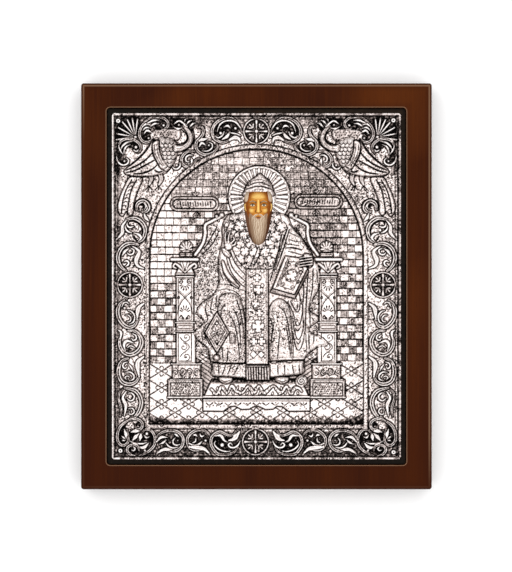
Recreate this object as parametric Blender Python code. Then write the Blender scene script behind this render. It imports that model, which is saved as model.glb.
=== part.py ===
"""A framed silver icon: a walnut board with a routed recess, a black painted panel lying in it,
an embossed silver cover (riza) with an opening for the painted face, and the four pins that hold it.

It lies on its back: +X is the right-hand side, +Y the head end, and +Z out of the picture.
Every size below is in millimetres, measured from the middle of the back, and MM turns it to metres.
"""

import math

import bmesh
import bpy
import numpy as np

MM = 0.001
GAP = 0.3  # left between two pieces that touch

# Walnut board
BOARD_X, BOARD_Y, BOARD_Z = 190.0, 220.0, 18.0
RECESS_X, RECESS_Y, RECESS_DEPTH = 162.4, 193.6, 6.0
BOARD_CORNER, RECESS_CORNER = 0.2, 2.0
EDGE_ROUND, RECESS_ROUND, BACK_CHAMFER = 1.2, 0.7, 0.6
ROUND_STEPS, CORNER_STEPS = 4, 6

# Painted panel, and the level that the silver cover stands on
PANEL_X, PANEL_Y, PANEL_Z = 161.6, 192.8, 2.7
PANEL_BOTTOM = BOARD_Z - RECESS_DEPTH + GAP
PANEL_TOP = PANEL_BOTTOM + PANEL_Z
PANEL_CORNER = 1.6

# Silver cover
COVER_X, COVER_Y, COVER_CORNER = 157.0, 188.0, 2.5
COVER_BOTTOM = PANEL_TOP + GAP
SHEET = 0.7  # from the cover's underside to its lowest ground
GROUND_Z = COVER_BOTTOM + SHEET
GRID_STEP = 0.9
KEPT_SHARE = 0.102  # of the fine grid's triangles, after the flat parts are simplified

# The arched niche, whose centre line is x = 0
ARCH_R, ARCH_Y, MOULDING = 58.0, 16.5, 3.0
NICHE_BOTTOM = -75.0
NICHE_Z = 0.0
BORDER_Z = 0.5

# Pins in the corners, each a little off square, as they are driven by hand
PINS = {"top_left": (-74.9, 89.6), "top_right": (74.2, 89.9), "bottom_left": (-73.7, -89.1), "bottom_right": (74.3, -89.9)}
PIN_HEAD_R, PIN_HEAD_H = 1.25, 0.7
SHANK_R, SHANK_CLEARANCE, SHANK_DEPTH = 0.45, 0.3, 2.0

# Heights of the carving over GROUND_Z
BEAD_H, MOULDING_H, SCROLL_H, MEDAL_H = 1.3, 1.9, 1.5, 1.5
THRONE_H, ROBE_H, KNEE_H, HEAD_H = 1.7, 2.0, 4.2, 3.4

# The painted face's opening, a drop shape round FACE_X, from its flat top to its tip
FACE_X, FACE_TOP, FACE_TIP = 1.0, 51.2, 22.0
FACE_HALF = 7.9


def clear_scene():
    for item in list(bpy.data.objects):
        bpy.data.objects.remove(item)


def material(name, colour, roughness, metallic):
    made = bpy.data.materials.new(name)
    made.use_nodes = True
    shader = made.node_tree.nodes["Principled BSDF"]
    shader.inputs["Base Color"].default_value = (*colour, 1.0)
    shader.inputs["Roughness"].default_value = roughness
    shader.inputs["Metallic"].default_value = metallic
    return made


def add_object(name, bm, finish=None, sharp=35.0):
    """Makes bm, drawn in millimetres, into an object of that name."""
    bmesh.ops.recalc_face_normals(bm, faces=bm.faces)
    bmesh.ops.scale(bm, vec=(MM, MM, MM), verts=bm.verts)
    mesh = bpy.data.meshes.new(name)
    bm.to_mesh(mesh)
    bm.free()
    mesh.shade_smooth()
    mesh.set_sharp_from_angle(angle=math.radians(sharp))
    made = bpy.data.objects.new(name, mesh)
    bpy.context.scene.collection.objects.link(made)
    if finish:
        mesh.materials.append(finish)
    return made


def make_cutter(made):
    made.hide_render = True
    made.display_type = "WIRE"
    return made


def cut(target, cutter, operation="DIFFERENCE"):
    step = target.modifiers.new(f"{operation.lower()} {cutter.name}", "BOOLEAN")
    step.operation = operation
    step.object = cutter
    step.solver = "EXACT"


# Solids that are a stack of outlines

def rounded_rectangle(size_x, size_y, corner):
    """Points of a rectangle with round corners, anticlockwise."""
    points = []
    for quarter, (sx, sy) in enumerate(((1, 1), (-1, 1), (-1, -1), (1, -1))):
        cx, cy = sx * (size_x / 2 - corner), sy * (size_y / 2 - corner)
        for step in range(CORNER_STEPS + 1):
            angle = math.radians(90 * quarter + 90 * step / CORNER_STEPS)
            points.append((cx + corner * math.cos(angle), cy + corner * math.sin(angle)))
    return points


def stack(levels):
    """A closed solid through (outline, height) levels, with a flat face at each end."""
    bm = bmesh.new()
    loops = [[bm.verts.new((x, y, z)) for x, y in outline] for outline, z in levels]
    for low, high in zip(loops, loops[1:]):
        for i in range(len(low)):
            j = (i + 1) % len(low)
            bm.faces.new((low[i], low[j], high[j], high[i]))
    bm.faces.new(reversed(loops[0]))
    bm.faces.new(loops[-1])
    return bm


def quarter_round(radius):
    """(inset, drop) pairs of a rounded edge, from the side face up to the flat face."""
    angles = [math.pi / 2 * i / ROUND_STEPS for i in range(ROUND_STEPS + 1)]
    return [(radius * (1 - math.cos(a)), radius * (1 - math.sin(a))) for a in angles]


def make_board(finish):
    """One board: rounded outside, with a round-cornered recess whose lip is eased."""
    def outside(inset, z):
        corner = BOARD_CORNER + EDGE_ROUND - inset
        return rounded_rectangle(BOARD_X - 2 * inset, BOARD_Y - 2 * inset, corner), z

    def inside(outset, z):
        corner = RECESS_CORNER + outset
        return rounded_rectangle(RECESS_X + 2 * outset, RECESS_Y + 2 * outset, corner), z

    levels = [outside(BACK_CHAMFER, 0.0), outside(0.0, BACK_CHAMFER)]
    levels += [outside(inset, BOARD_Z - drop) for inset, drop in quarter_round(EDGE_ROUND)]
    lip = quarter_round(RECESS_ROUND)
    levels += [inside(inset, BOARD_Z - drop) for inset, drop in reversed(lip)]
    levels.append(inside(0.0, BOARD_Z - RECESS_DEPTH))
    return add_object("wooden_board", stack(levels), finish)


def make_panel(finish, holes):
    outline = rounded_rectangle(PANEL_X, PANEL_Y, PANEL_CORNER)
    panel = add_object("painted_panel", stack([(outline, PANEL_BOTTOM), (outline, PANEL_TOP)]), finish)
    for hole in holes:
        cut(panel, hole)
    return panel


# The silver cover's relief: heights on a grid, raised by a few chasing tools

def curve_through(points, steps=6, closed=False):
    """A smooth curve through a few chosen points."""
    p = np.array(points, float)
    p = np.vstack([p[-1], p, p[:2]]) if closed else np.vstack([2 * p[0] - p[1], p, 2 * p[-1] - p[-2]])
    t = np.linspace(0, 1, steps, endpoint=False)[:, None]
    made = [
        0.5 * (2 * b + (c - a) * t + (2 * a - 5 * b + 4 * c - d) * t**2 + (3 * b - a - 3 * c + d) * t**3)
        for a, b, c, d in zip(p, p[1:], p[2:], p[3:])
    ]
    return np.vstack(made + [p[-2:-1]])


def spiral(cx, cy, r_start, r_end, from_deg, turn_deg, steps=22):
    angle = np.radians(np.linspace(from_deg, from_deg + turn_deg, steps))
    radius = np.linspace(r_start, r_end, steps)
    return np.stack([cx + radius * np.cos(angle), cy + radius * np.sin(angle)], axis=1)


class Relief:
    """Heights in millimetres over a grid that covers the cover."""

    def __init__(self, step):
        self.x = np.linspace(-COVER_X / 2, COVER_X / 2, round(COVER_X / step) + 1)
        self.y = np.linspace(-COVER_Y / 2, COVER_Y / 2, round(COVER_Y / step) + 1)
        self.gx, self.gy = np.meshgrid(self.x, self.y)
        self.z = np.full(self.gx.shape, BORDER_Z)

    def bump(self, path, width, width_end=None):
        """1 on the path, falling in a round section to 0 at its half width."""
        width_end = width if width_end is None else width_end
        best = np.zeros_like(self.z)
        last = len(path) - 1
        for i, (a, b) in enumerate(zip(path[:-1], path[1:])):
            run = b - a
            t = ((self.gx - a[0]) * run[0] + (self.gy - a[1]) * run[1]) / max(run @ run, 1e-9)
            t = np.clip(t, 0, 1)
            off = np.hypot(self.gx - a[0] - t * run[0], self.gy - a[1] - t * run[1])
            half = width + (width_end - width) * (i + t) / last
            best = np.maximum(best, np.sqrt(np.clip(1 - (off / half) ** 2, 0, 1)))
        return best

    def ridge(self, path, width, height, width_end=None, level=BORDER_Z):
        raised = self.bump(np.asarray(path, float), width, width_end)
        self.z = np.maximum(self.z, np.where(raised > 0, level + height * raised, -9))

    def fold(self, path, width, height, width_end=None):
        """Adds to what is there, so that it follows the form below; a negative height is a groove."""
        self.z = self.z + height * self.bump(np.asarray(path, float), width, width_end)

    def inside(self, outline):
        """True inside a closed outline."""
        p = np.asarray(outline, float)
        hit = np.zeros(self.z.shape, bool)
        for a, b in zip(p, np.roll(p, -1, axis=0)):
            if a[1] != b[1]:
                spans = (a[1] > self.gy) != (b[1] > self.gy)
                hit ^= spans & (self.gx < (b[0] - a[0]) * (self.gy - a[1]) / (b[1] - a[1]) + a[0])
        return hit

    def edge_distance(self, outline):
        p = np.asarray(outline, float)
        off = np.full(self.z.shape, 1e9)
        for a, b in zip(p, np.roll(p, -1, axis=0)):
            run = b - a
            t = ((self.gx - a[0]) * run[0] + (self.gy - a[1]) * run[1]) / max(run @ run, 1e-9)
            t = np.clip(t, 0, 1)
            off = np.minimum(off, np.hypot(self.gx - a[0] - t * run[0], self.gy - a[1] - t * run[1]))
        return off

    def pad(self, outline, height, shoulder, level=NICHE_Z):
        """A raised form: height inside the outline, rounded off over shoulder from its edge."""
        share = np.clip(self.edge_distance(outline) / shoulder, 0, 1)
        raised = level + height * np.sqrt(1 - (1 - share) ** 2)
        self.z = np.where(self.inside(outline), np.maximum(self.z, raised), self.z)

    def dome(self, cx, cy, rx, ry, height, level=NICHE_Z):
        share = ((self.gx - cx) / rx) ** 2 + ((self.gy - cy) / ry) ** 2
        self.z = np.where(share < 1, np.maximum(self.z, level + height * np.sqrt(np.clip(1 - share, 0, 1))), self.z)


def box(x0, y0, x1, y1):
    return [(x0, y0), (x1, y0), (x1, y1), (x0, y1)]


def flip(points, side):
    """The same points on the right (1) or mirrored to the left (-1)."""
    return np.asarray(points, float) * (side, 1)


def raise_mouldings(relief):
    """The bead round the edge, and the round moulding that follows the arched niche."""
    edge = np.array(rounded_rectangle(COVER_X - 2, COVER_Y - 2, COVER_CORNER))
    relief.ridge(np.vstack([edge, edge[:1]]), 1.1, BEAD_H)
    arch = np.hypot(relief.gx, relief.gy - ARCH_Y) - ARCH_R
    sides = np.maximum(np.abs(relief.gx) - ARCH_R, NICHE_BOTTOM - relief.gy)
    outside = np.where(relief.gy > ARCH_Y, arch, sides)
    across = np.clip(2 * outside / MOULDING - 1, -1, 1)
    relief.z = np.maximum(relief.z, MOULDING_H * np.sqrt(1 - across**2))
    relief.z = np.where(outside < 0, NICHE_Z, relief.z)


def raise_medallion(relief, cx, cy):
    relief.ridge(spiral(cx, cy, 6.7, 6.7, 0, 360, 25), 1.0, MEDAL_H)
    for dx, dy in ((5.2, 0), (0, 5.2)):
        relief.ridge([(cx - dx, cy - dy), (cx + dx, cy + dy)], 1.0, MEDAL_H)


def raise_scroll(relief, side, cx, cy, radius, from_deg, turn_deg, leaf):
    """A rolled stem, the ball it ends in, and the leaf that breaks out of it."""
    stem = spiral(cx, cy, radius, radius * 0.28, from_deg, turn_deg)
    relief.ridge(flip(stem, side), 1.25, SCROLL_H, 0.8)
    relief.dome(side * stem[-1][0], stem[-1][1], 1.2, 1.2, SCROLL_H, BORDER_Z)
    relief.ridge(flip(curve_through([stem[0], *leaf]), side), 1.5, SCROLL_H, 0.5)


def raise_scrolls(relief):
    for side in (-1, 1):
        raise_scroll(relief, side, 17, 84.5, 6.2, -70, 420, [(12, 79.5), (8.8, 79)])
        raise_scroll(relief, side, 28, 77, 5.2, 150, 400, [(29.5, 81), (29, 86)])
        raise_scroll(relief, side, 37.5, 69, 3.9, 60, -400, [(36, 73.5), (31, 69)])
        for cy, up, left in ((31, -1, 1), (18, -1, -1), (-14.5, 1, -1), (-30, 1, 1), (-46.5, 1, -1), (-61, -1, 1)):
            leaf = [(68 + left * 6.3, cy + up * 5), (68 + left * 6.6, cy + up * 8)]
            start = 180 + left * 190 * 0.5 + (0 if up < 0 else 180)
            raise_scroll(relief, side, 68, cy, 6.2, start, -left * up * 430, leaf)
        raise_scroll(relief, side, 45.5, -83.5, 5.8, 15, 470, [(54, -81), (56, -86)])
        raise_scroll(relief, side, 31, -83.5, 5.8, -100, -430, [(27, -89), (24.6, -91)])
        raise_scroll(relief, side, 17, -84.8, 6.2, 110, -430, [(13, -78.5), (10, -78)])
        raise_scroll(relief, side, 62.5, -83.5, 7.2, 130, -430, [(68, -74), (74, -80)])
        for cx, cy in ((0, 84), (0, -84.2), (side * 68.7, 1)):
            raise_medallion(relief, cx, cy)


def raise_bird(relief, side):
    """A peacock: neck, breast, swept wing and hanging tail, with the palmette behind it."""
    relief.ridge(flip(curve_through([(44, 87.5), (39, 89), (35.5, 84), (38, 78), (45, 74)]), side), 1.6, 2.0, 2.2)
    relief.dome(side * 49.5, 71.5, 6.5, 8.5, 2.4, BORDER_Z)
    for i in range(4):
        quill = curve_through([(55 - 0.5 * i, 77 - 4 * i), (61 + i, 70 - 2.6 * i), (71.5 - i, 64 - i)])
        relief.ridge(flip(quill, side), 1.3, 2.0, 0.5)
    for i in range(3):
        relief.ridge(flip(curve_through([(60 + 3 * i, 60), (65 + 3 * i, 50), (67.5 + 3.4 * i, 39)]), side), 1.2, 1.6)
    for leg in (52, 57.5):
        relief.ridge(flip([(leg, 62), (leg + 1, 54)], side), 0.9, 1.2)
    for i in range(7):
        angle = math.radians(4 + 17 * i)
        tip = (65.5 + 9.5 * math.cos(angle), 80.5 + 9.5 * math.sin(angle))
        relief.ridge(flip([(65.5, 80.5), tip], side), 0.4, 1.4, 1.1)
    relief.ridge(flip(spiral(58, 83.5, 6.0, 1.6, 40, 330), side), 1.1, SCROLL_H, 0.8)
    relief.ridge(flip(spiral(69.5, 73, 5.2, 1.6, 100, -330), side), 1.1, SCROLL_H, 0.8)


def raise_throne(relief):
    """Two arm posts on stepped bases, their finials, the curved back rails and the footstool."""
    for side in (-1, 1):
        def block(x0, y0, x1, y1, height):
            relief.pad(flip(box(x0, y0, x1, y1), side), height, 1.0)

        block(33.5, -42, 43.5, 6, THRONE_H)
        block(32.5, -24, 44, -19.5, THRONE_H + 0.5)
        block(32, 6, 44.5, 13, THRONE_H + 0.3)
        block(30.5, 12.5, 46, 16, THRONE_H + 0.7)
        block(30.5, -50.5, 45.5, -41.5, THRONE_H + 0.3)
        block(29, -60.5, 48, -50, THRONE_H + 0.6)
        relief.dome(side * 38, 20.5, 3.4, 3.6, THRONE_H + 0.6)
        rail = curve_through([(20, 37), (27.5, 33.5), (28, 27), (32.5, 18)])
        relief.ridge(flip(rail, side), 1.3, THRONE_H, level=NICHE_Z)
        frame = [(24, 40.8), (44, 40.8), (46.8, 44.8), (44, 48.8), (24, 48.8), (20.5, 44.8)]
        relief.pad(flip(frame, side), 0.9, 0.8)
    relief.pad([(-28, -60.5), (-24, -50), (24, -50), (28, -60.5)], THRONE_H, 1.0)
    relief.pad(box(-29, -68, 29, -60), THRONE_H + 0.7, 1.0)


def raise_figure(relief):
    """The seated bishop: halo, cap, shoulders, arms, book, knees, hanging folds and feet."""
    relief.dome(1.5, 48.5, 17.4, 17.4, 1.0)
    relief.ridge(spiral(1.5, 48.5, 16.4, 16.4, 0, 360, 40), 0.9, 1.6, level=NICHE_Z)
    relief.dome(1.2, 50.5, 8.8, 11.5, HEAD_H)
    relief.dome(1.0, 38, 9.5, 17, HEAD_H)
    robe = curve_through([(-12, 39), (-18.5, 34), (-21, 14), (-22, -3), (-33, -13), (-28, -20), (-32.5, -26),
                          (-25.5, -35), (-24, -48), (0, -51.5), (25, -48.5), (26.5, -36), (31, -27), (28.5, -20),
                          (32, -16), (28, -11), (31.5, 9), (28, 18), (18, 33), (13, 39)], closed=True)
    relief.pad(robe, ROBE_H, 3.0)
    relief.dome(-14.5, -11, 9.0, 8.5, KNEE_H)
    relief.dome(12.5, -13, 8.5, 8.0, KNEE_H)
    for knee, foot in (((-14.5, -12), (-16, -40)), ((12.5, -14), (14, -40))):
        relief.ridge([knee, foot], 7.2, KNEE_H - 0.3, 6.5, level=NICHE_Z)
    for arm in ([(-17, 32), (-20, 18), (-14, 20)], [(16, 32), (24, 20), (27, 14)]):
        relief.ridge(curve_through(arm), 3.6, 3.3, 2.6, level=NICHE_Z)
    relief.ridge([(-15, 20), (-14, 28)], 2.2, 3.6, 1.2, level=NICHE_Z)
    relief.pad([(14.5, 16), (7, -2), (20.5, -5.5), (27.5, 9)], 3.6, 1.0)
    relief.pad(box(-5.5, -43, 6.5, 9.3), 2.9, 1.0)
    relief.pad([(-21.5, -14), (-15, -25), (-21.5, -36), (-27.5, -24.5)], 3.4, 1.0)
    for fold in ([(-13, 19), (-9, 10), (-2, 3)], [(-17, 14), (-12, 4), (-5, -3)], [(15, 29), (9, 10), (7.5, 0)],
                 [(-9, -10), (-6.5, -28), (-7, -40)], [(7.5, -14), (7, -28), (8, -40)],
                 [(18, -16), (22, -28), (25, -16)], [(17, -22), (20, -36), (25, -26)], [(28, 8), (29, -6), (28, -12)]):
        relief.fold(curve_through(fold), 0.9, 0.6)
    for hem in ([(-24, -41), (-6, -41.5)], [(7, -41), (26, -40.5)]):
        relief.fold(hem, 1.0, -0.9)
    for shoe in (-16.5, 13.5):
        relief.dome(shoe, -51, 4.0, 2.6, 2.9)


def face_outline():
    """A drop: a nearly flat top under the cap, full at the cheeks, drawn in to the beard's tip."""
    side = curve_through([(6.6, FACE_TOP), (FACE_HALF, 46.5), (7.2, 38), (5.6, 30), (3.2, 24), (0, FACE_TIP)], 4)
    other = [(-x, y) for x, y in side[-2::-1]]
    return [(FACE_X + x, y) for x, y in [*map(tuple, side), *other]]


def cover_mesh(relief):
    """A closed block under the relief: its top follows the heights, its underside is flat."""
    bm = bmesh.new()
    top = [
        [bm.verts.new((x, y, GROUND_Z + z)) for x, z in zip(relief.x, row)]
        for y, row in zip(relief.y, relief.z)
    ]
    rows, columns = len(top), len(top[0])
    for r in range(rows - 1):
        for c in range(columns - 1):
            bm.faces.new((top[r][c], top[r][c + 1], top[r + 1][c + 1], top[r + 1][c]))
    rim = top[0] + [row[-1] for row in top[1:]] + top[-1][-2::-1] + [row[0] for row in top[-2:0:-1]]
    low = [bm.verts.new((v.co.x, v.co.y, COVER_BOTTOM)) for v in rim]
    for i in range(len(rim)):
        j = (i + 1) % len(rim)
        bm.faces.new((rim[j], rim[i], low[i], low[j]))
    bm.faces.new(list(reversed(low)))
    return bm


def make_cover(finish, holes):
    relief = Relief(GRID_STEP)
    raise_mouldings(relief)
    raise_scrolls(relief)
    for side in (-1, 1):
        raise_bird(relief, side)
    raise_throne(relief)
    raise_figure(relief)
    cover = add_object("silver_riza", cover_mesh(relief), finish)
    simpler = cover.modifiers.new("simplify flat parts", "DECIMATE")
    simpler.ratio = KEPT_SHARE
    outline = rounded_rectangle(COVER_X - 0.02, COVER_Y - 0.02, COVER_CORNER)
    blank = add_object("riza_outline", stack([(outline, COVER_BOTTOM - 1), (outline, GROUND_Z + 9)]))
    window = face_outline()
    opening = add_object("face_opening", stack([(window, COVER_BOTTOM - 1), (window, GROUND_Z + 9)]))
    cut(cover, make_cutter(blank), "INTERSECT")
    for cutter in (make_cutter(opening), *holes):
        cut(cover, cutter)
    return cover


# Pins

def circle(cx, cy, radius, steps=12):
    angles = [2 * math.pi * i / steps for i in range(steps)]
    return [(cx + radius * math.cos(a), cy + radius * math.sin(a)) for a in angles]


def make_pin(name, cx, cy, finish):
    """A domed head on a shank that runs through the cover into the panel."""
    seat = GROUND_Z + BORDER_Z + GAP
    levels = [(circle(cx, cy, SHANK_R), PANEL_TOP - SHANK_DEPTH + GAP), (circle(cx, cy, SHANK_R), seat)]
    for inset, drop in quarter_round(1.0):
        share = 1 - 0.75 * inset
        levels.append((circle(cx, cy, PIN_HEAD_R * share), seat + PIN_HEAD_H * (1 - drop)))
    return add_object(f"corner_pin_{name}", stack(levels), finish, 60.0)


def make_pin_hole(name, cx, cy):
    outline = circle(cx, cy, SHANK_R + SHANK_CLEARANCE)
    made = add_object(f"pin_hole_{name}", stack([(outline, PANEL_TOP - SHANK_DEPTH), (outline, GROUND_Z + 5)]))
    return make_cutter(made)


def main():
    clear_scene()
    walnut = material("walnut", (0.07, 0.022, 0.008), 0.42, 0.0)
    black_ground = material("black_ground", (0.012, 0.011, 0.012), 0.7, 0.0)
    silver = material("oxidised_silver", (0.72, 0.69, 0.68), 0.35, 1.0)
    pin_silver = material("pin_silver", (0.78, 0.75, 0.73), 0.3, 1.0)
    holes = [make_pin_hole(name, *place) for name, place in PINS.items()]
    make_board(walnut)
    make_panel(black_ground, holes)
    make_cover(silver, holes)
    for name, place in PINS.items():
        make_pin(name, *place, pin_silver)


main()
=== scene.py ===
"""Framed silver icon: an embossed and blackened silver cover over a painted face, in a recessed walnut board.

The silver is worked in millimetres from its own centre, x to the right and y up, as a chaser marks it out.
"""

import math
from functools import partial

import bpy
import numpy as np
from bpy.props import FloatProperty, FloatVectorProperty, PointerProperty
from bpy.types import Operator, Panel, PropertyGroup
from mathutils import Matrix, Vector


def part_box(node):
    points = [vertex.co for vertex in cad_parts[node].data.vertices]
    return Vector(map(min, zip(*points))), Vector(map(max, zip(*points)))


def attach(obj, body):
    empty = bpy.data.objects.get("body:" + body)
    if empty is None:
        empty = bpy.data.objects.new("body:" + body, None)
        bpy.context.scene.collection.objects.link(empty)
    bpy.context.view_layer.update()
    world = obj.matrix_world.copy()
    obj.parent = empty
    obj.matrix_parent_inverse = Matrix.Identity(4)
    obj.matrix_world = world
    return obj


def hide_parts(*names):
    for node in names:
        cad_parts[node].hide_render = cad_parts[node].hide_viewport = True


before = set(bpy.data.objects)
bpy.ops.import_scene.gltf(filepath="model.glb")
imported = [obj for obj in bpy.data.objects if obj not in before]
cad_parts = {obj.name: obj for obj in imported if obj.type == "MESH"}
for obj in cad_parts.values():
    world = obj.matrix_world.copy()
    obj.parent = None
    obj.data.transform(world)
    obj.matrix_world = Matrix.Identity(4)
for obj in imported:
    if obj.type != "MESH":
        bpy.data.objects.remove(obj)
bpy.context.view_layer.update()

bl_info = {
    "name": "Framed Silver Icon",
    "version": (1, 0, 0),
    "blender": (4, 5, 0),
    "location": "View3D > Sidebar > Icon",
    "description": "Builds an embossed silver icon in a recessed walnut board",
    "category": "Object",
}

MM = 0.001
VIEW_HEIGHT = 309.6  # what the camera takes in, in millimetres
PINS = sorted(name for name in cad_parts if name.startswith("corner_pin"))


def node_box(node):
    """A frame node's lowest and highest corners, in millimetres."""
    low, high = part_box(node)
    return Vector(low) / MM, Vector(high) / MM


BOARD_HIGH = node_box("wooden_board")[1]
PANEL_LOW, PANEL_HIGH = node_box("painted_panel")
COVER_LOW, COVER_HIGH = node_box("silver_riza")
COVER_X, COVER_Y = COVER_HIGH.x - COVER_LOW.x, COVER_HIGH.y - COVER_LOW.y
SHEET = 0.7
GROUND_Z = COVER_LOW.z + SHEET


def linear(code):
    """An sRGB hex colour as linear red, green and blue."""
    parts = [int(code[i:i + 2], 16) / 255 for i in (1, 3, 5)]
    return tuple(c / 12.92 if c <= 0.04045 else ((c + 0.055) / 1.055) ** 2.4 for c in parts)


def clamp(value):
    """Keeps a value between 0 and 1."""
    return np.clip(value, 0, 1)


# Lines that the chasing tools follow

def curve(points, steps=8, closed=False):
    """A smooth line through a few chosen points."""
    p = np.array(points, float)
    p = np.vstack([p[-1], p, p[:2]]) if closed else np.vstack([2 * p[0] - p[1], p, 2 * p[-1] - p[-2]])
    t = np.linspace(0, 1, steps, endpoint=False)[:, None]
    runs = [
        0.5 * (2 * b + (c - a) * t + (2 * a - 5 * b + 4 * c - d) * t**2 + (3 * b - a - 3 * c + d) * t**3)
        for a, b, c, d in zip(p, p[1:], p[2:], p[3:])
    ]
    return np.vstack(runs + [p[-2:-1]])


def flip(points, side):
    """Points on the right (1), or mirrored to the left (-1)."""
    return np.asarray(points, float) * (side, 1)


def arc(cx, cy, radius, start=0.0, turn=360.0, end_radius=None, steps=36):
    """Part of a circle, or of a spiral where end_radius is given; angles in degrees."""
    angle = np.radians(np.linspace(start, start + turn, steps))
    r = np.linspace(radius, radius if end_radius is None else end_radius, steps)
    return np.stack([cx + r * np.cos(angle), cy + r * np.sin(angle)], axis=1)


def box(x0, y0, x1, y1):
    return [(x0, y0), (x1, y0), (x1, y1), (x0, y1)]


def looped(points):
    """A line that comes back to its first point."""
    return np.vstack([points, points[:1]])


def swing(points, cx, cy, turn):
    """Points drawn about (0, 0), turned by degrees and put at (cx, cy)."""
    p = np.array(points, float)
    c, s = math.cos(math.radians(turn)), math.sin(math.radians(turn))
    return np.stack([cx + c * p[:, 0] - s * p[:, 1], cy + s * p[:, 0] + c * p[:, 1]], axis=1)


def spoke(cx, cy, turn, *reaches):
    """Points at these distances from (cx, cy), in the direction turn."""
    return swing([(reach, 0) for reach in reaches], cx, cy, turn)


def off_run(x, y, a, b):
    """How far along the run from a to b each place lies, from 0 to 1, and how far off the run."""
    run = b - a
    t = clamp(((x - a[0]) * run[0] + (y - a[1]) * run[1]) / max(run @ run, 1e-9))
    return t, np.hypot(x - a[0] - t * run[0], y - a[1] - t * run[1])


# How high a form stands across its width: s is 0 on its middle line and 1 at its edge

def rounded(s):
    return np.sqrt(clamp(1 - s * s))


def veined(s):
    """A rounded leaf with a chased line down its middle."""
    return rounded(s) * (1 - 0.6 * np.exp(-(s / 0.22) ** 2))


def flat(s):
    """A flat form with an eased edge."""
    x = clamp((1 - s) / 0.45)
    return x * x * (3 - 2 * x)


def blur(heights, sigma):
    """Gaussian blur, sigma in grid steps."""
    reach = max(1, int(3 * sigma))
    taps = np.exp(-0.5 * (np.arange(-reach, reach + 1) / sigma) ** 2)
    taps /= taps.sum()
    for axis in (0, 1):
        wide = np.pad(heights, [(reach * (a == axis),) * 2 for a in (0, 1)], mode="edge")
        size = heights.shape[axis]
        heights = sum(t * np.take(wide, range(i, i + size), axis=axis) for i, t in enumerate(taps))
    return heights


# The cover's named areas, and the layout of its relief
AREAS = (
    "riza_border_foot", "riza_border_left", "riza_border_right", "riza_wall", "riza_floor", "riza_throne",
    "riza_figure",
)
FOOT, LEFT, RIGHT, WALL, FLOOR, THRONE, FIGURE = range(len(AREAS))
ARCH_R, ARCH_Y, NICHE_FOOT = 58.0, 16.5, -74.8
BORDER_FOOT = NICHE_FOOT - 2.4  # where the border's foot piece ends
# How high the border, the throne and the robe stand, and what the border's forms stand on top of that
BORDER_LEVEL, THRONE_LEVEL, ROBE_LEVEL = 0.5, 1.4, 1.5
STEM_H, LEAF_H, BALL_H = 0.8, 0.8, 1.0
SOFT_FROM = 2.4  # higher forms are pressed down a little
FLECK, BLOTCH = 0.32, 3.0  # sizes of the tarnish's specks and clouds
FAR = 1e3  # further off than any two places are


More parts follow.
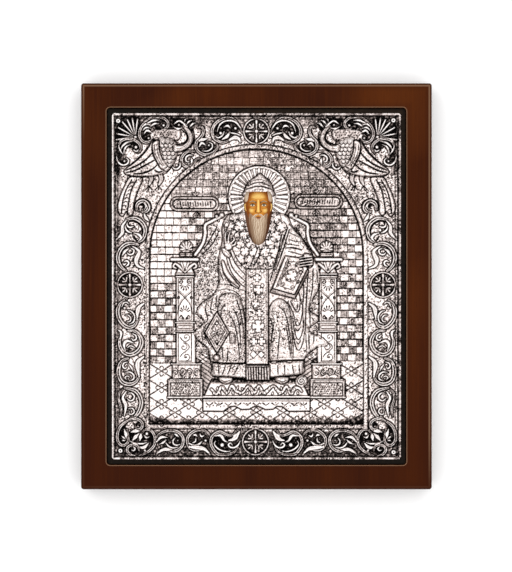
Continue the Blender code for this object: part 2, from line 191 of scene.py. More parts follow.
class Sheet:
    """The silver, as heights over a square grid, with how matt and how blackened each place is."""

    def __init__(self, step):
        self.x, self.y = (
            np.linspace(-size / 2, size / 2, round(size / step) + 1) for size in (COVER_X, COVER_Y)
        )
        self.gx, self.gy = np.meshgrid(self.x, self.y)
        self.z = np.zeros(self.gx.shape)
        self.matt = np.ones(self.gx.shape)
        self.black = np.zeros(self.gx.shape)
        self.part = np.full(self.gx.shape, FOOT)
        self.region = FOOT  # the named area that the next raised forms belong to
        self.rough = 0.2  # how matt they are left
        self.ink = 0.75  # how black the sunk line round them is
        self.random = np.random.default_rng(7)

    # Windows of the grid, and what each place in them measures

    def near(self, points, margin):
        """The grid's rows and columns within margin of some points."""
        p = np.asarray(points, float)
        low, high = p.min(axis=0) - margin, p.max(axis=0) + margin
        rows = slice(*np.searchsorted(self.y, (low[1], high[1])))
        cols = slice(*np.searchsorted(self.x, (low[0], high[0])))
        return rows, cols

    def line_field(self, path, halves, margin=0.0):
        """Round a line: the window, how far off the line each place is, and the half width there."""
        path = np.asarray(path, float)
        halves = np.atleast_1d(halves)
        reach = halves.max() + margin
        window = self.near(path, reach)
        off = np.full(self.gx[window].shape, FAR)
        along = np.zeros(off.shape)
        done = 0.0
        for a, b in zip(path, path[1:]):
            near = self.near((a, b), reach)
            here = tuple(slice(n.start - w.start, n.stop - w.start) for n, w in zip(near, window))
            t, away = off_run(self.gx[near], self.gy[near], a, b)
            length = math.hypot(*(b - a))
            along[here] = np.where(away < off[here], done + t * length, along[here])
            off[here] = np.minimum(off[here], away)
            done += length
        return window, off, np.interp(along, np.linspace(0, done, len(halves)), halves)

    def area_field(self, outline, margin=0.0):
        """Round a closed outline: the window, and the distance inside the edge (negative outside)."""
        p = np.asarray(outline, float)
        at = self.near(p, margin)
        gx, gy = self.gx[at], self.gy[at]
        off, hit = np.full(gx.shape, FAR), np.zeros(gx.shape, bool)
        for a, b in zip(p, np.roll(p, -1, axis=0)):
            off = np.minimum(off, off_run(gx, gy, a, b)[1])
            if a[1] != b[1]:
                crossing = (b[0] - a[0]) * (gy - a[1]) / (b[1] - a[1]) + a[0]
                hit ^= ((a[1] > gy) != (b[1] > gy)) & (gx < crossing)
        return at, np.where(hit, off, -off)

    def disc(self, cx, cy, rx, ry, margin=0.0):
        """Round an ellipse: the window, and how far out each place is, 1 at the edge."""
        at = self.near([(cx - rx, cy - ry), (cx + rx, cy + ry)], margin)
        return at, np.hypot((self.gx[at] - cx) / rx, (self.gy[at] - cy) / ry)

    def scatter(self, outline, pitch, row, loose, margin):
        """Places in loose staggered rows over an area, each at least margin inside it."""
        low, high = np.min(outline, axis=0), np.max(outline, axis=0)
        (rows, cols), inside = self.area_field(outline)
        for i, y in enumerate(np.arange(low[1], high[1], row * pitch)):
            for x in np.arange(low[0], high[0], pitch) + (i % 2) * pitch / 2:
                place = (x, y) + self.random.uniform(-loose, loose, 2) * pitch
                c = np.searchsorted(self.x, place[0]) - cols.start
                r = np.searchsorted(self.y, place[1]) - rows.start
                if 0 <= r < inside.shape[0] and 0 <= c < inside.shape[1] and inside[r, c] > margin:
                    yield place

    # What the tools do to the silver

    def put(self, where, **values):
        """Sets z, matt, black or part outright, where a test holds."""
        for name, value in values.items():
            setattr(self, name, np.where(where, value, getattr(self, name)))

    def sink(self, at, share, depth, black):
        """Sinks and blackens a window, by a share from 0 to 1 of each."""
        self.z[at] -= depth * share
        self.black[at] = np.maximum(self.black[at], black * share)

    def lay(self, at, inside, heights):
        """Covers what is on the sheet with a new form, which eases in from its edge, where inside is 0."""
        cover = clamp(inside * 3)
        self.z[at] += (heights - self.z[at]) * cover
        self.matt[at] += (self.rough - self.matt[at]) * cover
        self.black[at] *= 1 - cover

    def outline(self, at, edge, depth):
        """Sinks a black line round a raised form; edge runs from 0 to 1 across it."""
        self.sink(at, clamp(1 - np.abs(2 * edge - 0.7)) * (edge > -0.2), depth, self.ink)

    def raise_line(self, path, halves, height, level, line=0.45, depth=0.5, shape=rounded):
        """A raised stem along path, standing on level, with a sunk line round it."""
        at, off, half = self.line_field(path, halves, line + 0.05)
        self.outline(at, (off - half) / line, depth)
        tall = height * shape(off / half) * clamp(half / half.max() + 0.35)
        self.lay(at, 1 - off / half, level + tall)

    def raise_area(self, outline, height, shoulder, level=0.0, line=0.45, depth=0.5, dome=0.0):
        """A raised form with an eased shoulder; dome lifts its middle further."""
        at, inside = self.area_field(outline, line + 0.05)
        self.outline(at, -inside / line, depth)
        share = clamp(inside / shoulder)
        tall = height * rounded(1 - share) + dome * (1 - (1 - inside / inside.max()) ** 2) * (inside > 0)
        self.lay(at, share, level + tall)
        self.part[at] = np.where(inside > 0, self.region, self.part[at])

    def raise_ball(self, cx, cy, rx, ry, height, level, line=0.4, depth=0.5):
        at, share = self.disc(cx, cy, rx, ry, line)
        self.outline(at, (share - 1) * min(rx, ry) / line, depth)
        self.lay(at, 1 - share, level + height * rounded(share))

    def swell(self, cx, cy, rx, ry, height, power=1):
        """Lifts the figure in a soft round."""
        at, share = self.disc(cx, cy, rx, ry)
        self.z[at] += height * clamp(1 - share * share) ** power * (self.part[at] == FIGURE)

    def add(self, path, halves, height):
        """A fold or a lip that follows the form under it."""
        at, off, half = self.line_field(path, halves)
        self.z[at] += height * rounded(off / half)

    def lift(self, outline, height, black=0.8, shine=0.5, line=0.36):
        """Lifts an area and the form under it, brightens it, and blackens the line round it."""
        at, inside = self.area_field(outline, line)
        share = clamp(inside / 0.45)
        edge = rounded(2 * clamp(-inside / line) - 1) * (inside < 0)
        self.z[at] += height * rounded(1 - share) - 0.15 * edge
        self.black[at] = np.maximum(self.black[at] * (1 - share), black * edge)
        self.matt[at] *= 1 - shine * share

    def chase(self, path, half, depth, black=0.5):
        """A sunk line."""
        at, off, wide = self.line_field(path, half)
        self.sink(at, rounded(off / wide), depth, black)

    def punch(self, outline, pitch, depth, radius, black, loose=0.22):
        """Dots punched in a loose pattern over an area."""
        for x, y in self.scatter(outline, pitch, 0.87, loose, 0.3):
            at, share = self.disc(x, y, radius, radius)
            self.sink(at, clamp(1 - share * share), depth, black)

    def darken(self, outline, black, soft=1.5, depth=0.0):
        """Blackens an area, fading over soft millimetres inside its edge."""
        at, inside = self.area_field(outline)
        self.sink(at, clamp(inside / soft), depth, black)


# Motifs of the border, drawn for the right-hand side: kind, half width (or depth of black), points
UPPER_CORNER = (
    ("well", 0.9, (66.4, 80.4), (76.2, 79.2), (76.3, 87.6), (73.4, 91.6), (63, 91.8), (63.8, 84)),
    ("well", 0.8, (70.4, 76.2), (68.6, 78.4), (65.6, 78.2), (63.6, 76), (63.6, 73.6), (65.6, 72.4),
     (67.6, 73.6)),
    ("well", 0.8, (71, 79), (75.4, 75), (75.6, 69.6), (74, 66.8), (71.2, 66.4), (70.2, 68), (72.2, 71.6),
     (71, 74.4)),
    ("cord", 0.72, (75, 74.6), (73.6, 78.4), (70, 80), (66, 79.2), (63.2, 76.8), (62.9, 74), (64.2, 72.4)),
    ("leaf", 0.75, (67.2, 78.6), (70.4, 77.8), (72.8, 75.6), (74, 72.6)),
    ("leaf", 0.65, (68.2, 76.8), (70.4, 75.8), (71.6, 73.8), (71.8, 71.4)),
    ("leaf", 0.68, (74.8, 76.4), (73.8, 73.6), (72.2, 71.4)),
    ("ball", 1.1, (65.3, 75.4)),
    ("cord", 0.54, (66.8, 74), (65, 73.1), (63.8, 74.2)),
    ("cord", 0.66, (75.8, 70.4), (75, 67.4), (72.5, 65.7), (70, 66.4), (69.3, 68.2), (70.6, 69.6)),
    ("ball", 0.8, (71.5, 67.8)),
    ("well", 0.8, (56.4, 86.4), (59.6, 88), (62.2, 85), (62.6, 81), (60.4, 78.8), (57.4, 79.2), (56.6, 81.4),
     (57.4, 83.4)),
    ("cord", 0.72, (54.5, 84.8), (56.6, 87.6), (58.8, 89.1), (61.4, 87.6), (63.3, 84), (63, 80.5),
     (60.8, 78.2), (57.8, 78.5), (56.5, 80.4), (57.6, 82.2), (59.2, 81.4)),
    ("leaf", 0.74, (62, 86.2), (59.4, 88), (56.8, 86.8)),
    ("leaf", 0.68, (61.8, 84.2), (59.8, 86), (57, 85.6)),
    ("leaf", 0.88, (61, 82.6), (59.2, 84.4), (56.2, 83)),
    ("ball", 0.8, (58.4, 80.3)),
    ("well", 0.8, (59.4, 90.2), (56.8, 86.8), (55, 84.8), (50.6, 85.2), (48.6, 87.6), (50.2, 90.4),
     (54, 91.2)),
    ("cord", 0.72, (60.8, 89.2), (57.4, 91.1), (53, 91.7), (49.5, 90.6), (47.8, 88.3), (48.7, 85.9),
     (50.8, 85.1), (51.8, 86.4)),
    ("ball", 0.95, (50.3, 87.2)),
    ("leaf", 0.85, (52.6, 90), (55.8, 89.9), (59.2, 88.4)),
    ("leaf", 0.75, (52.8, 88.2), (55.4, 88), (57.6, 86.4)),
    ("well", 0.9, (47, 91.6), (43.8, 91), (44.6, 85.6), (47, 85.4)),
)
TOP_SCROLLS = (
    ("well", 0.75, (8.4, 84.8), (12, 89.4), (16, 90.3), (20, 89.4), (23, 85), (22.2, 81), (18.4, 79),
     (14.6, 80.6), (11.6, 82.4)),
    ("cord", 0.81, (7.6, 83.6), (9.6, 87.2), (12.2, 90.2), (15.5, 91.2), (19.5, 90.2), (22.6, 87.6),
     (24, 84), (23.2, 80.8), (21, 78.8), (18.4, 78), (15.8, 78.6), (13.6, 80.4)),
    ("cord", 0.62, (8.4, 85.6), (11, 88.6), (14, 89.7), (17.2, 89.4), (19.6, 87.8), (20.8, 85.4),
     (21.3, 83.6)),
    ("cord", 0.62, (17.4, 84), (18.2, 82.2), (19.4, 81), (21, 80.5), (22.4, 81.6)),
    ("ball", 1.1, (19.4, 83)),
    ("leaf", 1.2, (14.2, 83.8), (16, 81.2), (18.7, 79.5)),
    ("ball", 1, (11.4, 85.6)),
    ("leaf", 0.81, (14, 85.6), (15.6, 87), (17.8, 86.2)),
    ("cord", 0.62, (8.6, 81.6), (11, 82.6), (14.2, 83.2)),
    ("leaf", 1.4, (14.7, 79), (12, 80.6), (9.6, 80), (8.8, 78)),
    ("well", 0.72, (31, 85), (30.4, 82.4), (32, 79), (32.4, 75.6), (30.6, 72.8), (26, 72), (22.8, 73.8),
     (21.8, 76.4), (24, 78.8), (27, 80), (28, 83)),
    ("cord", 0.81, (31.8, 86), (30, 86.5), (28.8, 85), (29, 82.5), (30.4, 80.4), (32.2, 78.6), (32.8, 76.4),
     (32.2, 73.8), (30, 72), (27.4, 71.2), (24.6, 71.8), (22.4, 73.4), (21, 75.4), (21.4, 77.2)),
    ("leaf", 1.2, (31, 78.4), (29.2, 79.4), (26.6, 80)),
    ("leaf", 0.94, (31.2, 75.4), (29.6, 77.6), (27.4, 76.4)),
    ("cord", 0.56, (29.6, 73.4), (26.6, 73.3), (24.2, 74.8), (24, 77), (25.8, 78.2)),
    ("ball", 0.8, (25.8, 76.4)),
    ("cord", 0.75, (33.4, 73.2), (37.6, 72.8), (40.3, 70), (40.4, 67), (38.4, 65), (36, 64.8), (34.4, 66.4),
     (32.8, 68.2), (31.4, 69.2), (30, 68.6)),
    ("cord", 0.62, (34.6, 71), (36.6, 71), (38.2, 69.8), (38, 67.8), (36.4, 67.4)),
    ("leaf", 0.81, (35.4, 69.6), (35, 68), (35.6, 66.4)),
    ("cord", 0.62, (45.6, 64.9), (44.4, 63.7), (42.6, 63.8), (41.3, 65.4), (41.6, 67.2)),
    ("ball", 0.8, (43.2, 65.6)),
)
SIDE_SCROLLS = (
    ("line", 0.42, (65.7, 40.6), (66.4, 43), (65.2, 45.8), (62.5, 47.2), (60, 46.9), (57.8, 45.5),
     (57.1, 42.5), (58.4, 39.4)),
    ("line", 0.54, (63.4, 44), (62, 44.4), (61.2, 43), (62.4, 42)),
    ("stem", 1.3, (64.9, 41.6), (64.6, 44.4), (62.5, 46), (60.4, 45.8), (58.8, 44), (58.6, 42), (60, 40.4),
     (61.8, 40.4)),
    ("leaf", 0.57, (61.2, 45), (59.9, 43.5), (60.8, 41.3)),
    ("leaf", 1.1, (60.9, 39.4), (60, 37.2), (58.2, 35.2)),
    ("line", 0.54, (69.9, 33.4), (68.6, 35.2), (66, 35.2), (63.4, 33.6), (62, 31), (62, 27.4)),
    ("stem", 1.3, (70.6, 36.1), (67, 36.9), (64.3, 36.2), (61.8, 34.2), (60.4, 31.5), (60.4, 28.5),
     (61.8, 25.4), (64.5, 23.6)),
    ("cord", 0.68, (70, 34.4), (70, 32.8), (68.5, 31.9), (66.7, 32.5)),
    ("cord", 0.68, (71.2, 33.2), (70.9, 31.2), (69.5, 29.7), (67.6, 28.9)),
    ("line", 0.6, (66.2, 27), (65.8, 25.8), (64.8, 24.6)),
    ("leaf", 0.92, (66.6, 28.9), (63.9, 28.1), (62.6, 26.4), (64, 24.4)),
    ("leaf", 1.3, (70.6, 35.6), (72.6, 32.6), (72.8, 28.8), (76, 25.2)),
    ("line", 0.48, (66.6, 21.3), (68.6, 22), (71.2, 20.9), (73.1, 18.6), (73.7, 16), (73.1, 12.4)),
    ("stem", 1.3, (64, 22.5), (68, 23.3), (71.3, 22.3), (73.8, 19.8), (75, 16.5), (74.7, 13), (73, 10.2),
     (70.6, 8.2)),
    ("leaf", 1.5, (67, 21.6), (63.6, 18.8), (65.2, 14.2), (64.4, 11.2), (61, 9.6)),
    ("cord", 0.62, (68.4, 20.8), (66.4, 19.6), (67, 17.6), (69, 17.2), (70.2, 18.4)),
    ("leaf", 1, (72.8, 16.6), (71.2, 19), (69, 20.6)),
    ("cord", 0.68, (71.8, 13.2), (70.3, 13.8), (69.2, 12.8), (69.7, 11.5), (71, 10.7)),
    ("stem", 1.3, (71.6, -7.6), (74, -9.8), (75.2, -13.4), (74.4, -17.6), (72, -20.8), (69.2, -22.2),
     (66.2, -21.2), (64.4, -18.2)),
    ("leaf", 1.5, (61, -9.2), (64, -12), (64.8, -18)),
    ("cord", 0.6, (69.6, -13), (67.4, -13.9), (66, -16.3), (66.6, -19.2), (69, -20.6)),
    ("cord", 0.5, (71, -15.6), (69.3, -15.7), (68, -17.4), (68.6, -19), (70.2, -19)),
    ("ball", 0.9, (71.4, -11.8)),
    ("cord", 0.5, (69, -9.8), (70.4, -8.6), (72, -9.2), (73, -11.4)),
    ("stem", 1.3, (69.5, -24), (65.8, -24.4), (63.2, -27), (62.2, -30.4), (63.4, -34), (65.9, -36.2),
     (69, -37), (72, -35.6), (73.9, -32.6), (74.2, -29.4), (73.2, -26.6)),
    ("leaf", 0.9, (75.4, -23.4), (73.4, -25), (73.9, -28.6)),
    ("cord", 0.6, (67.4, -25.6), (65.4, -26.6), (65.2, -28.6), (66.8, -29.2), (67.8, -28)),
    ("leaf", 1.1, (66.6, -30.8), (70, -29.6), (71.8, -31.6), (71, -35)),
    ("cord", 0.5, (65.8, -33.4), (68.2, -32.2), (70, -33.4)),
    ("well", 0.7, (66.8, -34.4), (69, -33.2), (70.4, -34.4), (69, -35.6)),
    ("stem", 1.3, (69.6, -39), (72.4, -40.2), (74.2, -42.8), (74.8, -46.6), (73.8, -50.4), (71.4, -52.6),
     (68, -53), (65.2, -51.6), (63.6, -49)),
    ("leaf", 1.6, (61, -38), (64.4, -41.6), (63.6, -49)),
    ("cord", 0.6, (69.8, -41), (71.8, -41.6), (72.4, -43.4), (71.2, -44.6), (70.2, -43.6)),
    ("leaf", 0.7, (69.4, -42), (67.8, -44), (66.8, -46.2)),
    ("cord", 0.6, (71, -46.6), (68.2, -46.6), (66.4, -48.4), (66.8, -50.4), (69, -51.2)),
    ("cord", 0.5, (68.6, -49.4), (70, -48.6), (71.2, -49.6), (70.2, -50.6)),
    ("stem", 1.3, (71.6, -55), (68.6, -55.6), (65.4, -56.8), (63.2, -59.6), (62.4, -63.2), (63.4, -67.2),
     (65.6, -70.4), (68.4, -72.3)),
    ("stem", 0.8, (72.4, -55.6), (74.2, -57.6), (74.8, -60.6), (73.9, -63.8), (73.3, -67), (73.9, -70.6)),
    ("cord", 0.6, (69.6, -58), (67.8, -57.8), (66.2, -59.4), (66.8, -61.4), (68.6, -62), (70.2, -60.6)),
    ("leaf", 1.2, (70.6, -57), (72.4, -60.4), (70.8, -64.6), (71.6, -70.4)),
    ("cord", 0.55, (69.2, -66.2), (67.2, -66.2), (66.2, -67.9), (67.4, -69.4), (69, -69), (68.8, -67.8)),
)
BOTTOM_SCROLLS = (
    ("well", 0.95, (69.6, -73.6), (72, -75), (74.4, -78), (74.8, -82.4), (73, -85.4), (70.4, -84.4),
     (70.2, -80), (70.6, -77)),
    ("well", 0.9, (68.6, -77), (69.6, -85), (66, -86), (60, -84), (56, -86), (56.2, -80), (60, -78.6),
     (64, -79.6)),
    ("well", 0.9, (69.2, -87.4), (69.4, -90), (66, -91.4), (61, -89.8), (57.6, -86.6), (62, -87.6),
     (65.6, -86.8)),
    ("line", 1, (65.4, -75.6), (64.2, -74.4), (63.2, -75.8)),
    ("cord", 0.75, (67.3, -70.4), (69.3, -72.5), (71.8, -74.2), (74, -76.4), (75.2, -79.5), (75.4, -82.5),
     (74.6, -84.8), (73, -86.1), (71.3, -86), (69.8, -84.8), (69.4, -83), (69.6, -80.5), (70.2, -77.6)),
    ("leaf", 1.1, (70.6, -82.6), (70.9, -80), (71.6, -77.4)),
    ("leaf", 0.7, (73.2, -81), (72.2, -81.8), (70.9, -83)),
    ("leaf", 0.63, (73, -83.8), (72.2, -83.5), (71, -83.7)),
    ("cord", 0.75, (69.8, -73), (67.5, -72), (65, -71.9), (62.9, -72.9), (61.9, -74.5), (62.2, -76.5),
     (63.5, -77.6), (65.2, -77.2), (65.6, -75.6)),
    ("leaf", 1.3, (68, -79.1), (66, -78.5), (63.5, -78.6)),
    ("leaf", 1.4, (67.2, -83.6), (65.5, -81.6), (63.5, -79.8)),
    ("leaf", 1.4, (63.2, -83.6), (62.8, -81.6), (62.4, -79.6)),
    ("cord", 0.62, (68.6, -83.8), (66, -85), (62, -85.3), (59.4, -84.6)),
    ("leaf", 1.3, (64, -87), (61, -87.4), (58.6, -85)),
    ("cord", 0.75, (61.8, -79.4), (60.8, -78), (59.8, -77.6), (58, -77.7), (56.5, -78.8), (55.3, -81),
     (54.9, -83.4), (55.2, -85.6), (56.4, -87.6), (58.4, -89.4), (61, -90.8), (63.6, -92)),
    ("ball", 1.1, (59.4, -79.9)),
    ("leaf", 0.7, (61, -80.4), (59.6, -82), (57.8, -81.4)),
    ("cord", 0.75, (63.6, -89.2), (64.2, -87), (65.5, -86), (67.5, -86), (69.4, -86.9), (70.1, -88.6),
     (69.2, -90.4), (67.5, -91.5), (65, -92.2)),
    ("cord", 0.56, (66.8, -86.9), (65.7, -88), (66.6, -89), (67.8, -88.6)),
    ("ball", 0.84, (60.4, -89)),
    ("well", 0.72, (54, -82.6), (50.5, -80), (45, -79.2), (41, -81.6), (40.6, -85.8), (44, -88.2),
     (50, -87.4), (53.4, -89)),
    ("cord", 0.81, (54.8, -83), (53.5, -81), (51.5, -79.4), (48.5, -78.3), (45, -78.2), (42, -79.3),
     (40, -81.6), (39.7, -84.2), (40.4, -86.6), (42.4, -88.6), (45, -89.3), (48, -88.7), (51, -88.6),
     (53.2, -89.6), (54.2, -91.4)),
    ("leaf", 1.1, (54.2, -84.4), (51.6, -81.8), (48.2, -82)),
    ("leaf", 1.25, (44, -87.6), (47.2, -88.2), (50.6, -88.6), (54, -90.8)),
    ("cord", 0.62, (49.4, -84.4), (47.6, -86.6), (45.2, -87.5), (42.4, -87)),
    ("cord", 0.62, (44, -82.2), (45.2, -83.6), (44.9, -85.4), (43.2, -86.1), (41.4, -85.6)),
    ("leaf", 0.84, (44.8, -80), (43.6, -80.4), (42, -81.8)),
    ("ball", 0.6, (42.6, -83.5)),
    ("leaf", 0.84, (52.6, -85.6), (50.4, -84.6), (48.8, -83)),
    ("well", 0.72, (25.8, -81.6), (29.4, -79), (33.4, -79.4), (36.4, -82.6), (35.4, -86.6), (31.6, -87.6),
     (27.4, -87.6), (25.6, -85)),
    ("cord", 0.81, (25, -81.4), (26.5, -79.3), (29, -78), (32.5, -78), (35.5, -79.7), (37.3, -82.2),
     (37.3, -85), (36, -87.5), (33.5, -88.7), (30, -88.5), (27.8, -88.9), (26, -90.2), (25.1, -91.6)),
    ("leaf", 1.1, (36.5, -85), (33, -86.6), (29.4, -84)),
    ("leaf", 1.35, (36.4, -87), (32.4, -87.4), (28.4, -88), (25.2, -91)),
    ("cord", 0.56, (32.8, -82), (33.1, -84), (34.7, -84.9)),
    ("cord", 0.62, (30.7, -79.8), (29.9, -81.4), (28.4, -80.8)),
    ("ball", 0.96, (27.6, -83.6)),
    ("leaf", 0.84, (34.6, -80.6), (33, -80.6), (32, -81.6)),
    ("well", 0.9, (12.4, -81.6), (17, -81), (22.6, -80.6), (24, -84), (22, -88.6), (17, -90.4), (12.6, -89),
     (14.4, -86)),
    ("cord", 0.81, (10, -87), (12, -89.8), (16, -91.2), (20.5, -91), (23, -88.8), (24.6, -85.5),
     (24.3, -82.2), (22.5, -80), (19.8, -78.9), (17, -80), (14.5, -80.9), (12.2, -80.4), (11.2, -78.4)),
    ("leaf", 1.1, (22.6, -81.2), (19.4, -80.9), (17.4, -83.6), (15.4, -84.5)),
    ("cord", 0.62, (22.2, -83.8), (22.8, -85.5), (21.5, -87.4), (19.3, -88.8), (16.5, -89.5), (13.8, -89.2)),
    ("ball", 1.4, (18.6, -86)),
    ("leaf", 1.7, (15, -83.6), (12, -82.5), (9, -78.6)),
    ("cord", 0.69, (8.8, -83.8), (10, -86), (12, -87.4), (14.1, -87.2), (15.2, -86), (14.2, -84.9),
     (13, -86)),
)
PEACOCK = (
    ("well", 0.85, (47, 91.4), (42.6, 91.6), (34, 91.4), (32.6, 88.6), (34.2, 84), (37, 84.6), (40, 86.4),
     (45, 84.8)),
    ("line", 0.5, (34.2, 84), (33.6, 80), (35.6, 76), (40.6, 73)),
    ("line", 0.5, (40.6, 84.8), (38, 82.6), (37.4, 80), (39, 78), (43, 76.6)),
    ("leaf", 0.7, (45.4, 86.6), (42.6, 85.4), (39.6, 86)),
    ("cord", 0.7, (44.6, 88), (42, 89.6), (39.5, 88.3), (37.4, 86.4)),
    ("ball", 0.8, (42, 87.4)),
    ("leaf", 0.7, (38, 87.6), (36.4, 89.4), (34.8, 90)),
    ("leaf", 0.7, (36.4, 86), (34.4, 88.2), (32.8, 88.4)),
    ("leaf", 0.6, (39, 88.8), (38.6, 90.4), (37, 91)),
)
PALM_TIPS = [(75.8, 79.4), (75.4, 82.6), (74.9, 86), (72.6, 89), (69.9, 90.2), (67.2, 90.8), (64.4, 90.6)]
WING = [(56, 80), (58.6, 76), (62, 71.4), (66.5, 67.3), (70.5, 64), (71.9, 62), (70, 60.3), (66, 59.5),
        (60, 59.4), (54.5, 60), (50.5, 61.6), (51.5, 64), (54, 67.5), (56, 72), (56.2, 77)]
QUILLS = [
    [(56, 79.8), (58.5, 75.2), (62, 70.8), (66.5, 66.8), (69.6, 64.8)],
    [(56.4, 72.2), (60, 68.4), (65, 65.2), (70.6, 62.9)],
    [(55.3, 68.2), (60, 65.6), (66, 62.6), (70.4, 61.6)], [(53.8, 65.5), (57, 63), (61, 61.4), (65.4, 60.8)],
    [(55, 62.6), (53, 61.8), (51, 62.2)],
]
RIBBON = [(56.3, 77.4), (56, 72), (54, 67.5), (51.5, 63.6), (48.5, 65), (51, 69.5), (52.5, 74), (53, 79)]
# The ribbon's middle line: x, y, and how far its chased edges spread
RIBBON_LINE = ((54.6, 77, 0.5), (54.2, 72.5, 0.5), (52.4, 68, 0.4), (50.4, 65.2, 0.3))
BREAST = [(53, 79.6), (47, 80), (43.4, 78), (42.6, 74), (43.2, 70.6), (45, 66.4), (48, 62.4), (52, 60.6),
          (52.4, 66)]
TAIL = [(62, 58.8), (68.4, 59.2), (71.6, 54), (73.8, 49), (75.2, 43.6), (74.4, 39.4), (72.4, 38),
        (70.6, 40.6), (68.6, 38.4), (66.8, 40), (66.6, 44), (65.4, 49), (63.6, 53.6)]
# A stroke's half width along it, as shares of its widest
TAPERED, LONG_TAPERED = np.array((0.5, 1, 1, 0.5)), np.array((0.5, 1, 1, 1, 0.5))
PIT, BEAD_DENTS = 2.1, 150  # pitch of the niche's pitted band, and dents in the bead along one side


def draw(sheet, motif, side):
    """Works each stroke of a border motif, on the right (1) or mirrored to the left (-1)."""
    for kind, size, *points in motif:
        points = flip(points, side)
        if kind == "well":
            sheet.darken(curve(points, closed=True), 0.92 * size, 0.7, 0.3)
        elif kind == "line":
            sheet.chase(curve(points), size * TAPERED, 0.45, black=0.95)
        elif kind == "ball":
            sheet.raise_ball(*points[0], size, size, BALL_H, BORDER_LEVEL)
        elif kind == "leaf":
            sheet.raise_line(curve(points), (0.3 * size, size, 0.25 * size), LEAF_H, BORDER_LEVEL, 0.5,
                             shape=veined)
        else:
            wide = size > 0.7
            size *= 1.25 if wide and kind == "cord" else 1
            sheet.raise_line(curve(points), size * LONG_TAPERED, STEM_H, BORDER_LEVEL, 0.55, shape=flat)
            if wide:
                sheet.chase(curve(points), (0.2, 0.34 * size, 0.36 * size, 0.34 * size, 0.2), 0.2, black=1.0)


def work_medallion(sheet, cx, cy, radius):
    """A ring round a cross, with a small three-lobed leaf in each quarter."""
    ring = arc(cx, cy, radius - 0.6)
    at, inside = sheet.area_field(ring)
    sheet.z[at] = np.where(inside > 0, BORDER_LEVEL - 0.35 * clamp(inside), sheet.z[at])
    sheet.darken(ring, 0.55)
    sheet.rough = 0.7
    sheet.raise_line(ring, 0.5, 0.7, BORDER_LEVEL)
    sheet.chase(arc(cx, cy, radius - 1.5), 0.4, 0.2, black=1.0)
    reach = radius - 1.9
    for turn in range(0, 360, 90):
        for lean, out in ((0, 2.6), (48, 2.0), (-48, 2.0)):
            foot = spoke(cx, cy, turn + 45, 2.6)[0]
            lobe = spoke(*foot, turn + 45 + lean, 0, 0.6 * out, out)
            sheet.raise_line(lobe, (0.3, 0.5, 0.62), 0.6, BORDER_LEVEL - 0.2, 0.25)
        arm = spoke(cx, cy, turn, 0.8, 0.6 * reach, reach)
        sheet.raise_line(arm, (0.3, 0.42, 0.95), 0.7, BORDER_LEVEL - 0.2, 0.3)
    sheet.raise_ball(cx, cy, 1.2, 1.2, 0.9, BORDER_LEVEL)


